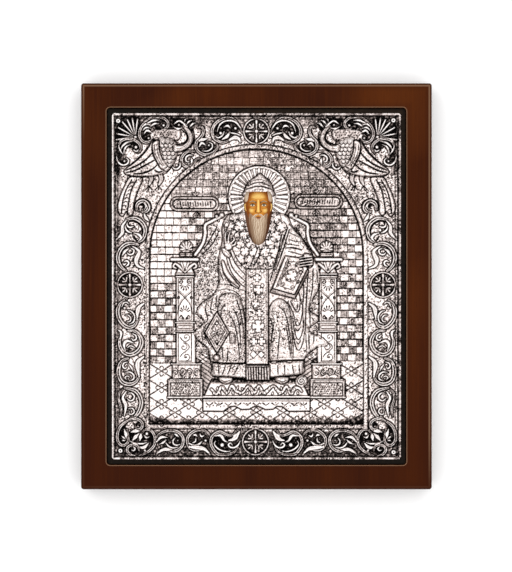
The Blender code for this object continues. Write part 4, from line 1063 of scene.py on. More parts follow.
def work_robe(sheet):
    """The robe's outline, the body under it, the shoes, and the hem."""
    sheet.rough = 1.0
    sheet.raise_area(curve(ROBE, closed=True), ROBE_LEVEL, 1.6, line=0.55)
    for cx, cy, rx, ry, tall in ((0.5, 22, 19, 24, 0.9), (-16, 22, 7, 16, 0.5), (19, 20, 8, 15, 0.5)):
        sheet.swell(cx, cy, rx, ry, tall)
    for x, lean in ((-16.6, -1), (13.8, 1)):
        shoe = [(x - 3.6, -49), (x - 3.4, -51.4), (x, -53), (x + 3.4, -51.6), (x + 3.4, -49)]
        sheet.raise_area(curve(shoe, closed=True), 2.4, 1.8, 0.2, 0.5)
        toe = curve([(x - 2.4, -50.8), (x + 0.4 * lean, -51.8), (x + 2.4, -50.8)])
        sheet.chase(toe, 0.28, 0.35)
    under = [(-23.6, -41.6), (-23.4, -48.6), (-10, -49.6), (0, -50.4), (9, -49.4), (24.8, -47.4),
             (25.4, -40.6)]
    sheet.raise_area(under, 1.5, 1.3, 0.3, 0.5)
    for x, lean in ((-20.6, 0.3), (-16.8, -1.8), (-13.6, -2.2), (-9.8, -2.4), (11.4, 0.4), (15.2, 0.2),
                    (19.4, 1.0), (23, 0.6)):
        fold = curve([(x, -42.8), (x + 0.4 * lean, -45.2), (x + lean, -47.8)])
        sheet.add(fold + (0.9, 0), 0.7, 0.2)
        sheet.chase(fold, (0.22, 0.3, 0.16), 0.35, black=0.6)


def work_folds(sheet, folds):
    """Sunk folds, each with a soft ridge beside it."""
    for points in folds:
        line = curve(points)
        sheet.add(line + (0.75, 0.1), (0.3, 0.8, 0.3), 0.2)
        sheet.chase(line, (0.175, 0.25, 0.25, 0.125), 0.4, black=0.75)


def work_legs(sheet):
    """The legs under the robe, with the knees, their folds and the two hems."""
    sheet.rough = 1.25
    for leg in (LEFT_LEG, RIGHT_LEG):
        sheet.raise_area(curve(leg, closed=True), 0.4, 0.9, ROBE_LEVEL, 0.35, 0.35, dome=1.1)
    for cx, cy in ((-14.4, -10.4), (12.4, -13.2)):
        sheet.swell(cx, cy, 7, 7, 0.5, power=2)
    work_folds(sheet, LEG_FOLDS)
    for hem in ([(-23.8, -41), (-15, -41.8), (-6, -41.6)], [(7.4, -40.6), (16, -40.2), (25.8, -39.8)]):
        sheet.add(curve(hem) + (0, 0.8), 0.8, 0.5)
        sheet.chase(curve(hem), 0.42, 0.6, black=0.9)
    work_folds(sheet, HANGING_FOLDS)


def work_torso(sheet):
    """Collar and chest woven with crosses, the sleeves and the crossing scarf."""
    chest = curve([(-11.6, 38.4), (-17, 35.4), (-16.6, 29), (-12, 23), (-10.2, 15.4), (-5.8, 10), (7, 10),
                   (10, 13.6), (13.4, 21), (17, 31), (14.4, 37.4), (9, 39), (1, 34)], closed=True)
    at, inside = sheet.area_field(chest)
    sheet.matt[at] = np.where(inside > 0, 1.2, sheet.matt[at])
    pitch, size = 5.6, 2.7
    for x, y in sheet.scatter(chest, pitch, 0.82, 0.5 / pitch, 0.35 * size):
        grown, turn = sheet.random.uniform((0.85, -40), (1.15, 40))
        work_cross(sheet, x, y, size * grown, turn, 0.2, 0.1)
    for shift in (0.0, 2.2):
        scarf = curve([(1.0, 21.2), (-1.2, 15.6), (-3.6, 10.8)]) + (shift, 0)
        sheet.chase(scarf, 0.26, 0.4, black=0.7)
    for points in ([(13.5, 28), (12, 20), (10.3, 13), (7.4, 3)], [(16.6, 31), (12.8, 19), (9.6, 8)],
                   [(17.8, 30.6), (14.2, 19), (10.8, 9.4)]):
        sheet.chase(curve(points), 0.26, 0.4, black=0.7)
        sheet.add(curve(points) + (0.7, 0), 0.5, 0.3)
    sheet.chase(curve([(-6, 9.4), (0, 9.3), (7.5, 9.4), (10, 12), (13, 22), (17, 32)]), 0.28, 0.4, black=0.7)
    work_folds(sheet, SLEEVE_FOLDS)
    bar = curve([(-18.4, 13.4), (-16.4, 7.6), (-12.8, 3), (-9.6, 0)])
    sheet.raise_line(bar, (0.8, 1.3, 1.2, 0.5), 0.6, ROBE_LEVEL + 0.7, 0.35)
    for points in ([(-18.2, 34), (-16.6, 27), (-17.6, 22.6)], [(-14.4, 34.6), (-16.8, 28.8)],
                   [(-11.6, 29), (-13, 24)]):
        sheet.chase(curve(points), 0.26, 0.35, black=0.6)
    for half, *points in RIGHT_SLEEVE:
        sheet.chase(curve(points), (0.5 * half, half, 0.5 * half), 0.4, black=0.75)


def work_scarf_end(sheet):
    """The long middle band with its crosses, round marks and fringe."""
    sheet.rough = 1.25
    sheet.raise_area(box(-5.6, -42.4, 6.4, 9.4), 0.6, 0.8, ROBE_LEVEL + 1.5, 0.4, 0.4)
    sheet.add([(-5.4, 9.6), (6.6, 9.6)], 0.4, 0.3)
    for x in (-4.5, 5.3):
        sheet.chase([(x, 8.6), (x, -41)], 0.2, 0.25, black=0.45)
    for cx, cy, size in ((0.4, 4.6, 1.9), (1.0, -2.0, 2.4), (-0.4, -9.4, 2.1), (1.6, -14.4, 1.8),
                         (0.9, -21.6, 3.1), (-1.4, -29.8, 2.0), (2.7, -29.8, 2.0)):
        work_cross(sheet, cx, cy, size)
    for x in (-1.6, 2.6):
        sheet.lift(arc(x, -36.9, 1.9, steps=5), 0.5)
        for y in (8.4, 0.4, -5.6, -17.4, -26.4, -33.4):
            sheet.lift(arc(x * 1.4 - 0.4, y, 0.9, steps=8), 0.35, black=0.5)
    sheet.raise_area(box(-5.6, -50.8, 7.2, -42.6), 1.2, 0.8, ROBE_LEVEL + 0.6, 0.5)
    for x in np.arange(-4.6, 7.0, 1.45):
        lean = sheet.random.uniform(-0.4, 0.4)
        sheet.chase([(x, -43.6), (x + lean, -50.6)], 0.3, 0.5, black=0.8)
        sheet.add([(x + 0.7, -43.4), (x + 0.7 + lean, -50.4)], 0.4, 0.35)
    for y in (-42.2, -43.6):
        sheet.chase([(-5.4, y), (6.8, y)], 0.3, 0.4, black=0.6)


def work_cuff(sheet):
    """The lozenge that hangs at the knee, with its borders, flower and tassels."""
    cx, cy = -21.4, -25.0
    sheet.ink = 0.4
    lozenge = np.array([(0, 11.2), (6.6, 0), (0, -11.2), (-6.4, 0)])
    sheet.raise_area(lozenge + (cx, cy), 1.0, 0.7, ROBE_LEVEL + 1.2, 0.6, 0.6)
    for share in (0.82, 0.62):
        sheet.chase(looped(lozenge * share + (cx, cy)), 0.26, 0.3)
    for i in range(8):
        sheet.raise_line(spoke(cx, cy, 45 * i, 0.6, 2.4), (0.3, 0.7), 0.5, ROBE_LEVEL + 2.0, 0.3)
    for y in (cy - 5.0, cy + 5.0):
        sheet.chase(arc(cx, y, 0.9), 0.3, 0.35, black=0.6)
    sheet.raise_ball(-21.6, -38.6, 1.7, 1.8, 1.6, ROBE_LEVEL + 0.6)
    tassel = [(-14.6, -25.4), (-11.8, -25.6), (-11.2, -30.6), (-14.2, -30.8)]
    sheet.raise_area(tassel, 1.0, 0.6, ROBE_LEVEL + 1.4)
    for x in (-13.7, -12.7, -11.9):
        sheet.chase([(x + 0.2, -26.4), (x, -30.4)], 0.24, 0.35, black=0.6)


def work_book(sheet):
    """The closed book, its page edges and cover ornament, with the hand over its corner."""
    pages = [(8.6, -1.2), (7.4, -3.2), (20.8, -6.6), (28.2, 7.6), (27.6, 9.4), (20.6, -4.6)]
    sheet.raise_area(pages, 1.0, 0.6, ROBE_LEVEL + 1.3, 0.4)
    for drop in (0.7, 1.4):
        sheet.chase([(8.4, -1.4 - drop), (20.7, -4.8 - drop), (27.8, 9.0 - drop)], 0.2, 0.2)
    sheet.ink = 0.75
    cover = [(15.6, 16.4), (8.6, -1.2), (20.6, -4.6), (27.6, 9.4), (25.4, 15)]
    sheet.raise_area(cover, 1.3, 0.8, ROBE_LEVEL + 1.6, depth=0.45)
    for inset in (1.3, 2.1):
        sheet.chase([(15.8 + inset, 15.4), (9.4 + inset, -0.4)], 0.28, 0.4, black=0.65)
    frame_line = looped([(17.6, 13.4), (12.6, 0.2), (19.8, -2.2), (25.4, 8.8), (23.6, 13)])
    sheet.chase(frame_line, 0.28, 0.38, black=0.55)
    work_cross(sheet, 19.0, 5.8, 2.6, 20)
    sheet.chase(arc(19.0, 5.8, 3.5), 0.3, 0.4, black=0.55)
    for cx, cy in ((14.4, 1), (19.4, -0.6), (23.8, 7.6), (17.4, 11.6), (13.8, 5.2), (22.4, 2.2),
                   (21.6, 11.4)):
        sheet.chase(arc(cx, cy, 1.2, 0, 400, 0.4, steps=12), 0.28, 0.32, black=0.6)
    sheet.rough = 0.6
    palm = [(25.4, 16.8), (29, 17.4), (30.8, 14.4), (30.2, 11), (27.8, 10.4)]
    sheet.raise_area(curve(palm, closed=True), 1.2, 1.4, ROBE_LEVEL + 1.4, 0.4)
    fingers = [curve([(29.8, 16.3), (27, 15.9), (23.4, 15.3)]) + (0.1 * i, -1.45 * i) for i in range(4)]
    for finger in fingers:
        sheet.raise_line(finger, (0.5, 0.45, 0.35), 0.8, ROBE_LEVEL + 2.2, 0.34)
    for finger in fingers:
        sheet.chase(finger - (0, 0.72), (0.45, 0.6, 0.45), 0.5, black=1.0)


def work_blessing_hand(sheet):
    """The raised hand before the shoulder, two fingers up and two bent to the thumb, over its cuff."""
    sheet.rough = 0.9
    cuff = [(-18.6, 20.6), (-16.4, 20.4), (-13.8, 17), (-15.2, 15.4), (-18.2, 18)]
    sheet.raise_area(curve(cuff, closed=True), 1.2, 1.0, ROBE_LEVEL + 0.9, 0.35)
    sheet.chase(curve([(-18.2, 19.2), (-16.4, 18.6), (-14.6, 16.4)]), 0.25, 0.3)
    palm = [(-17.2, 21), (-17.2, 24), (-14.8, 24.8), (-12.6, 23), (-13.4, 20.2), (-15.6, 19.4)]
    sheet.raise_area(curve(palm, closed=True), 1.5, 1.3, ROBE_LEVEL + 1.0, 0.35)
    for finger in ([(-16.6, 23.6), (-16.9, 26.6), (-16.4, 29.4)], [(-15.2, 24), (-15, 27), (-14.2, 29.6)],
                   [(-13.6, 23.4), (-12, 25.2), (-12.8, 27)], [(-12.9, 22), (-11.6, 22.8), (-11, 24.4)]):
        sheet.raise_line(curve(finger), (0.6, 0.6, 0.4), 0.9, ROBE_LEVEL + 1.7, 0.3, 0.4)


def work_figure(sheet):
    sheet.region = FIGURE
    for work in (work_halo, work_cap, work_robe, work_legs, work_torso, work_scarf_end, work_cuff, work_book,
                 work_blessing_hand):
        work(sheet)
    sheet.add(looped(face_outline()), 1.0, 0.35)


def work_pin_seats(sheet):
    """Flattens and blackens the sheet round each pin, so that the pin's head sits on it."""
    seat, slope = 2.1, 0.4
    for node in PINS:
        low, high = node_box(node)
        at, out = sheet.disc(*(low + high).xy / 2, seat, seat)
        share = clamp((1 - out) * seat / slope)
        sheet.z[at] += share * (0.1 - sheet.z[at])
        sheet.sink(at, share, 0.0, 0.85)


def embossed_sheet(step):
    """The whole cover's relief, worked from the ground up, with how blackened each place has stayed, and the
    painted shade laid in with that black.
    """
    sheet = Sheet(step)
    work_border(sheet)
    work_edges(sheet)
    work_wall(sheet)
    work_floor(sheet)
    work_name_plate(sheet, -1, 44.6)
    work_name_plate(sheet, 1, 45.8)
    work_throne(sheet)
    work_figure(sheet)
    work_pin_seats(sheet)

    def smoothed(heights, size_mm):
        return blur(heights, size_mm / step)

    # Forms above SOFT_FROM are pressed down, ever more, to stay under the cover's full height
    room = COVER_HIGH.z - GROUND_Z - SOFT_FROM
    pressed = room * (1 - np.exp(-np.clip(sheet.z - SOFT_FROM, 0, None) / room))
    sheet.z = np.clip(np.minimum(sheet.z, SOFT_FROM) + pressed, 0.08 - SHEET, None)
    close, wide = (smoothed(sheet.z, size) - sheet.z for size in (0.55, 1.6))
    hollow = 1.1 * clamp(close) + 0.12 * clamp(wide)
    fine, broad = (smoothed(sheet.random.normal(size=sheet.z.shape), size) for size in (FLECK, BLOTCH))
    fine, broad = fine / fine.std(), broad / broad.std()
    proud = np.clip((sheet.z - smoothed(sheet.z, 2.0)) / 1.2, 0, 0.8)
    rough = sheet.matt * (1 - proud)
    worm = clamp(1.25 - 2.6 * np.abs(fine + 0.3)) * np.clip(0.75 + 0.7 * broad, 0.1, 1.15)
    flecks = rough * (0.75 * worm + 0.4 * clamp(fine - 1.1))
    sheet.z += 0.03 * rough * fine
    sheet.black *= np.clip(0.85 + 0.22 * fine, 0.3, 1)
    # The blackening holds the patina, and also the painted shade laid at the niche floor's foot and on the
    # footstool's top
    sheet.oxide = clamp(hollow + 1.05 * sheet.black + 0.12 * sheet.matt + flecks)
    return sheet


# Making the pieces

def mode(name):
    bpy.ops.object.mode_set(mode=name)


def deselect():
    if bpy.context.object:
        mode("OBJECT")
    bpy.ops.object.select_all(action="DESELECT")


def take_last(name, material):
    """Names the piece just added and gives it its material."""
    piece = bpy.context.object
    piece.name = piece.data.name = name
    piece.data.materials.clear()
    piece.data.materials.append(material)
    return piece


def keep(piece, node):
    """Rides a finished piece on the part's body, in place of a node, which it hides."""
    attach(piece, "root")
    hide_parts(node)


def read(rows, key, width=1, kind=int):
    """One property of all of a mesh's rows, as an array."""
    values = np.empty(len(rows) * width, kind)
    rows.foreach_get(key, values)
    return values.reshape(-1, width) if width > 1 else values


def put_vertices(mesh, *xyz):
    """Puts a mesh's vertices at x, y and z, in millimetres."""
    mesh.vertices.foreach_set("co", (np.stack(xyz, axis=-1) * MM).ravel())


def mark(mesh, name, values, kind="FLOAT", key="value"):
    """Gives each vertex a value under a name."""
    layer = mesh.attributes.new(name, kind, "POINT")
    layer.data.foreach_set(key, values.astype(np.float32).ravel())


def add_grid(name, material, x, y, z):
    """A sheet of square faces through places on a grid, in millimetres."""
    deselect()
    rows, columns = x.shape
    bpy.ops.mesh.primitive_grid_add(x_subdivisions=columns - 1, y_subdivisions=rows - 1, calc_uvs=False)
    piece = take_last(name, material)
    put_vertices(piece.data, x, y, z)
    return piece


def delete_faces(mesh, unwanted):
    """Deletes the faces marked in a list of true and false."""
    mesh.polygons.foreach_set("select", unwanted)
    corners = read(mesh.loops, "vertex_index")
    picked = np.zeros(len(mesh.vertices), bool)
    picked[corners[np.repeat(unwanted, read(mesh.polygons, "loop_total"))]] = True
    mesh.vertices.foreach_set("select", picked)
    mesh.edges.foreach_set("select", picked[read(mesh.edges, "vertices", 2)].all(axis=1))
    mode("EDIT")
    bpy.ops.mesh.select_mode(type="FACE")
    bpy.ops.mesh.delete(type="FACE")
    mode("OBJECT")


def close_below(piece, z):
    """Gives an open sheet its edge wall and its flat back at height z, in millimetres."""
    mesh = piece.data
    top = len(mesh.vertices)
    mode("EDIT")
    bpy.ops.mesh.select_mode(type="EDGE")
    bpy.ops.mesh.select_all(action="DESELECT")
    bpy.ops.mesh.select_non_manifold()
    bpy.ops.mesh.mark_sharp()
    bpy.ops.mesh.extrude_region_move()
    mode("OBJECT")
    place = read(mesh.vertices, "co", 3, float)
    place[top:, 2] = z * MM
    mesh.vertices.foreach_set("co", place.ravel())
    mode("EDIT")
    bpy.ops.mesh.mark_sharp()
    bpy.ops.mesh.fill(use_beauty=False)
    bpy.ops.mesh.select_all(action="SELECT")
    bpy.ops.mesh.normals_make_consistent(inside=False)
    bpy.ops.mesh.faces_shade_smooth()
    mode("OBJECT")


def untouching(cells):
    """Fills cells so that no two kept ones meet only at a corner."""
    cells = cells.copy()
    rising = falling = cells
    while rising.any() or falling.any():
        a, b, c, d = cells[:-1, :-1], cells[:-1, 1:], cells[1:, :-1], cells[1:, 1:]
        rising, falling = (a & d) & ~(b | c), (b & c) & ~(a | d)
        cells[:-1, 1:] |= rising
        cells[:-1, :-1] |= falling
    return cells


# Materials

def add_node(tree, kind, *values, out=None, **settings):
    """Adds a shader node, and returns its first output or the one that out names.

    Its sockets take values or other nodes' outputs, in their order, or by name from a dict. A colour of
    three parts is made opaque.
    """
    made = tree.nodes.new("ShaderNode" + kind)
    for key, value in settings.items():
        setattr(made, key, value)
    if values and isinstance(values[0], dict):
        pairs = [(made.inputs[key], value) for key, value in values[0].items()]
    else:
        pairs = zip([socket for socket in made.inputs if socket.enabled], values)
    for socket, value in pairs:
        if isinstance(value, bpy.types.NodeSocket):
            tree.links.new(value, socket)
        else:
            socket.default_value = (*value, 1) if socket.type == "RGBA" and len(value) == 3 else value
    if out:
        return made.outputs[out]
    return next((socket for socket in made.outputs if socket.enabled), None)


def new_material(name, preview):
    """An empty material, and the function that adds a node to it."""
    material = bpy.data.materials.new(name)
    material.use_nodes = True
    material.diffuse_color = (*linear(preview), 1)
    material.node_tree.nodes.clear()
    return material, partial(add_node, material.node_tree)


def per(size_mm):
    """A texture's scale for features of about this size, where coordinates are metres."""
    return 1000.0 / size_mm


def silver_material(settings):
    # Silver sheet, embossed, dipped in liver of sulphur and rubbed back: bright high places, a warm grey
    # bloom on the matt ground, and dull black sulphide left in the hollows and in the punch marks
    # The blackening it reads also carries painted shade: along the niche floor's foot, and on the footstool's
    # top under the hem
    material, add = new_material("oxidised_silver_sheet", "#D8D4D0")
    spot = add("TexCoord", out="Object")
    oxide, matt = (add("Attribute", attribute_name=name, out="Fac") for name in ("oxide", "matt"))
    marks = add("MapRange", add("TexNoise", spot, per(1.15), 2.0, 0.6), 0.5, 0.68, 0.0, settings.mottle)
    cloud = add("MapRange", add("TexNoise", spot, per(9), 2.0), 0.35, 0.65, 0.5, 1.2)
    reach = add("Math", add("MapRange", matt, 0.0, 1.0, 0.12, 1.0), cloud, operation="MULTIPLY")
    tarnish = add("Math", marks, reach, oxide, operation="MULTIPLY_ADD", use_clamp=True)
    colour = settings.silver
    for low, high, layer in ((0.0, 0.3, settings.bloom), (0.22, 0.62, settings.tarnish),
                             (0.55, 0.95, settings.sulphide)):
        colour = add("Mix", add("MapRange", tarnish, low, high), colour, layer, data_type="RGBA")
    grain = add("TexNoise", spot, per(0.6), 2.0)
    shader = add("BsdfPrincipled", {
        "Base Color": colour, "Metallic": 1.0, "Roughness": add("MapRange", tarnish, 0.0, 1.0, 0.36, 0.62),
        "Normal": add("Bump", {"Height": grain, "Strength": 0.3, "Distance": 0.08 * MM}),
    })
    add("OutputMaterial", shader, is_active_output=True)
    return material


def walnut_material(settings):
    # Solid black walnut, planed, stained dark and given a satin varnish: long fibres, broad darker bands
    # and short open pores, all along the board's height. Light is painted in too: painted highlights on the
    # eased edges, a painted shade line on the outermost edge, painted sheen toward the top and right, a
    # darker bottom
    material, add = new_material("satin_varnished_walnut", "#4A2614")
    spot, normal = add("TexCoord", out="Object"), add("TexCoord", out="Normal")

    def along_grain(across_mm, long_mm, detail, shift):
        scale = per(across_mm), per(long_mm), per(across_mm)
        stretched = add("Mapping", {"Vector": spot, "Location": (shift, shift, shift), "Scale": scale})
        return add("TexNoise", {"Vector": stretched, "Scale": 1.0, "Detail": detail, "Distortion": 0.3})

    bands = along_grain(16.0, 260.0, 1.0, 3.1)
    fibres = along_grain(0.9, 60.0, 3.0, 8.7)
    pores = along_grain(0.5, 7.0, 1.0, 17.3)
    # Soft paler patches of painted sheen
    painted_sheen = along_grain(70.0, 90.0, 1.0, 5.0)
    x, y = (add("SeparateXYZ", spot, out=axis) for axis in "XY")
    # A painted light that grows toward the top and right: more painted sheen there, and the bottom painted
    # darker
    rise = add("Math", x, 0.25, y, operation="MULTIPLY_ADD")
    inset = [add("Math", half * MM, add("Math", axis, operation="ABSOLUTE"), operation="SUBTRACT")
             for half, axis in zip(BOARD_HIGH, (x, y))]
    rim = add("Math", *inset, operation="MINIMUM")
    # The side where the light falls: full toward the top and right, little toward the bottom left
    painted_light_side = add("MapRange", add("Math", x, y), -0.015, 0.015, 0.12, 1.0)
    # Eased edges are where the surface turns from flat; a painted highlight lies on the recess's lip all
    # round and on the outer edge toward the top and right, where the light falls
    turned = add("SeparateXYZ", normal, out="Z")
    eased = add("Math", add("MapRange", turned, 0.35, 0.6), add("MapRange", turned, 0.8, 0.97, 1.0, 0.0),
                operation="MULTIPLY")
    inner = add("Math", add("MapRange", rim, 0.004, 0.006), painted_light_side, operation="MAXIMUM")
    eased = add("Math", eased, inner, operation="MULTIPLY")
    # A painted highlight line just inside the outer edge, on the side where the light falls
    worn = add("Math", add("MapRange", rim, 0.0009, 0.0012), add("MapRange", rim, 0.0016, 0.002, 0.6, 0.0),
               operation="MULTIPLY")
    worn = add("Math", worn, painted_light_side, operation="MULTIPLY")
    # Each layer is how much of it shows, or a measure and the ends between which it comes in, and its colour
    colour = settings.wood_dark
    for share, ends, layer in (
        (bands, (0.35, 0.68), settings.wood_mid),
        (fibres, (0.45, 0.75, 0.0, 0.14), settings.wood_light),
        # Painted sheen, more of it toward the top and right, then the bottom painted darker
        (painted_sheen, (0.45, 0.7, 0.0, add("MapRange", rise, -0.05, 0.09, 0.0, 0.5)), settings.wood_light),
        (rise, (-0.07, -0.02, 0.4, 0.0), settings.wood_dark),
        (pores, (0.62, 0.72, 0.0, 0.3), settings.wood_dark),
        (rim, (0.002, 0.0045, 0.4, 0.0), settings.wood_dark),
        (rim, (0.0100, 0.0125, 0.0, 0.3), settings.wood_dark),
        # Painted highlights on the eased edges and just inside the outer edge, and painted shade on the
        # outermost edge
        (eased, (), settings.wood_edge),
        (rim, (0.0007, 0.0011, 0.85, 0.0), settings.wood_dark),
        (worn, (), settings.wood_edge),
    ):
        colour = add("Mix", add("MapRange", share, *ends) if ends else share, colour, layer, data_type="RGBA")
    height = add("Math", add("MapRange", pores, 0.62, 0.72, 0.0, -0.8), fibres)
    shader = add("BsdfPrincipled", {
        "Base Color": colour, "Roughness": add("MapRange", fibres, 0.3, 0.7, 0.4, 0.52),
        "Specular IOR Level": 0.03,
        "Normal": add("Bump", {"Height": height, "Strength": 0.25, "Distance": 0.1 * MM}),
    })
    add("OutputMaterial", shader, is_active_output=True)
    return material


def paint_material():
    # Egg tempera over a black ground, under a thin oil varnish: dense, smooth and barely glossy
    material, add = new_material("varnished_tempera", "#17130F")
    spot = add("TexCoord", out="Object")
    paint = add("Attribute", attribute_name="paint", out="Color")
    wear = add("MapRange", add("TexNoise", spot, per(2.2), 4.0), 0.5, 0.8, 0.0, 0.12)
    strokes = add("TexNoise", spot, per(0.4), 1.0)
    shader = add("BsdfPrincipled", {
        "Base Color": add("Mix", wear, paint, linear("#5A4632"), data_type="RGBA"), "Roughness": 0.45,
        "Specular IOR Level": 0.04,
        "Normal": add("Bump", {"Height": strokes, "Strength": 0.15, "Distance": 0.04 * MM}),
    })
    add("OutputMaterial", shader, is_active_output=True)
    return material


def pin_material(settings):
    # Silver-plated brass tack, stamped and handled: smooth with a little grey dulling
    material, add = new_material("silver_plated_pin", "#DDDAD6")
    dull = add("TexNoise", add("TexCoord", out="Object"), per(0.6), 3.0)
    dent = add("Attribute", attribute_name="oxide", out="Fac")
    colour = add("Mix", add("MapRange", dull, 0.45, 0.75, 0.0, 0.6), settings.silver, linear("#8E8681"),
                 data_type="RGBA")
    shader = add("BsdfPrincipled", {
        "Base Color": add("Mix", dent, colour, settings.tarnish, data_type="RGBA"), "Metallic": 1.0,
        "Roughness": add("MapRange", dull, 0.3, 0.7, 0.2, 0.4),
    })
    add("OutputMaterial", shader, is_active_output=True)
    return material


def floor_material(settings):
    # Matt white acrylic of a light table, lit a little from beneath
    material, add = new_material("light_table_acrylic", "#F4F4F4")
    tooth = add("TexNoise", add("TexCoord", out="Object"), per(1.5), 2.0)
    tooth = add("MapRange", tooth, 0.3, 0.7, 0.0, 0.04)
    colour = add("Mix", tooth, settings.floor, linear("#EFEFEF"), data_type="RGBA")
    shader = add("BsdfPrincipled", {
        "Base Color": colour, "Roughness": 0.9,
        "Emission Color": linear("#FFFFFF"), "Emission Strength": 0.04,
    })
    add("OutputMaterial", shader, is_active_output=True)
    return material


# The painted face: an old man's head to a painter's rule of thirds, calm and facing forward

BROWS, EYE_LINE, EYE_GAP, EYE_HALF = 45.7, 44.0, 3.1, 1.3
BLACK_GROUND = "#17120E"
SKIN, SKIN_LIGHT, SKIN_DARK, LINE_BROWN = "#CB8430", "#F8D27C", "#83430F", "#3A1E0C"
HAIR, HAIR_LIGHT, HAIR_DARK = "#C0A58A", "#EBDAC2", "#7D5A3E"


def soft_step(value, start, end):
    t = clamp((value - start) / (end - start))
    return t * t * (3 - 2 * t)


class Paint:
    """Colours laid over each other on a grid of places."""

    def __init__(self, x, y, ground):
        self.x, self.y = x, y
        self.colour = np.ones(x.shape + (3,)) * linear(ground)

    def lay(self, share, code):
        self.colour += clamp(share)[..., None] * (np.array(linear(code)) - self.colour)

    def spot(self, cx, cy, rx, ry, soft=1.0):
        """1 in the middle of an ellipse, fading to 0 at its edge."""
        return 1 - soft_step(np.hypot((self.x - cx) / rx, (self.y - cy) / ry), 1 - soft, 1)

    def stroke(self, points, halves, soft=0.5):
        """1 along a brush stroke."""
        path = curve(points, 10)
        off, half = np.full(self.x.shape, FAR), np.ones(self.x.shape)
        widths = np.interp(np.linspace(0, 1, len(path)), np.linspace(0, 1, len(halves)), halves)
        for a, b, wide in zip(path, path[1:], widths):
            here = off_run(self.x, self.y, a, b)[1]
            half = np.where(here < off, wide, half)
            off = np.minimum(off, here)
        return 1 - soft_step(off / half, 1 - soft, 1 + soft)

    def brush(self, way, *strokes, at=(0, 0)):
        """Lays strokes (how strong, points, half widths, colour), mirrored to the left where way is -1."""
        for share, points, halves, code, *soft in strokes:
            self.lay(share * self.stroke(flip(points, way) + at, halves, *soft), code)


def paint_features(art):
    """The lights, shades and lines of the face itself."""
    for cx, *size, share in ((0, 49, 4.6, 2.6, 0.9), (-2.1, 48.2, 2.2, 1.6, 0.5), (2.1, 48.2, 2.2, 1.6, 0.5),
                             (-3.7, 41.2, 2, 1.9, 0.85), (3.7, 41.2, 2, 1.9, 0.85)):
        art.lay(share * art.spot(cx, *size), SKIN_LIGHT)
    for way in (-1, 1):
        art.lay(0.75 * art.spot(way * EYE_GAP, EYE_LINE + 0.7, 2.3, 1.5, 0.8), SKIN_DARK)
        art.brush(way, (0.5, [(4.9, 43.4), (5.4, 41), (4.6, 38.6)], (0.3, 0.6, 0.4), SKIN_DARK),
                  (0.55, [(1.6, 42.6), (3.2, 42.1), (4.6, 42.7)], (0.15, 0.25, 0.15), SKIN_DARK),
                  (0.8, [(1.3, 45.9), (1.15, 43.2), (1.2, 41.4)], (0.35, 0.3, 0.3), SKIN_DARK),
                  (0.4, [(0.8, 47.2), (2.8, 47.6), (4.4, 47)], (0.1, 0.2, 0.1), SKIN_DARK))
    art.brush(1, (0.95, [(0, 46.6), (0, 43.5), (0, 41.2)], (0.35, 0.45, 0.55), SKIN_LIGHT, 0.7))
    art.lay(0.9 * art.spot(0, 40.7, 0.9, 0.8, 0.8), SKIN_LIGHT)
    for way in (-1, 1):
        art.brush(way, (0.9, [(1.35, 41.2), (1.65, 40.5), (1.0, 40.0)], (0.16, 0.24, 0.14), LINE_BROWN))
    art.brush(1, (0.8, [(-0.6, 39.9), (0, 39.7), (0.6, 39.9)], (0.12, 0.2, 0.12), LINE_BROWN))


def paint_eyes(art):
    """Each eye's white, pupil, lids and light, with the brow over it."""
    for way in (-1, 1):
        ex, ey = way * EYE_GAP, EYE_LINE
        lens = clamp(1 - ((art.x - ex) / EYE_HALF) ** 2)
        white = soft_step(0.62 * lens - np.abs(art.y - ey), -0.06, 0.1)
        art.lay(0.95 * white, "#E9DCC0")
        art.lay(white * (1 - soft_step(np.hypot(art.x - ex, art.y - ey - 0.05), 0.42, 0.62)), "#2A1608")
        art.brush(1, (0.95, [(-1.45, 0), (-0.6, 0.6), (0.6, 0.6), (1.45, 0)], (0.14, 0.24, 0.14), "#2A1709"),
                  (0.65, [(-1.1, -0.36), (0, -0.66), (1.1, -0.36)], (0.1, 0.14, 0.1), LINE_BROWN),
                  at=(ex, ey))
        art.lay(0.9 * art.spot(ex + 0.14, ey + 0.18, 0.17, 0.17, 0.6), "#FFFBEF")
        art.brush(way, (0.9, [(1.2, -0.3), (3.0, 0.55), (5.0, -0.4)], (0.34, 0.34, 0.16), "#54402A"),
                  (0.5, [(1.6, 0.05), (3.2, 0.6), (4.6, 0)], (0.1, 0.14, 0.1), HAIR_LIGHT), at=(0, BROWS))


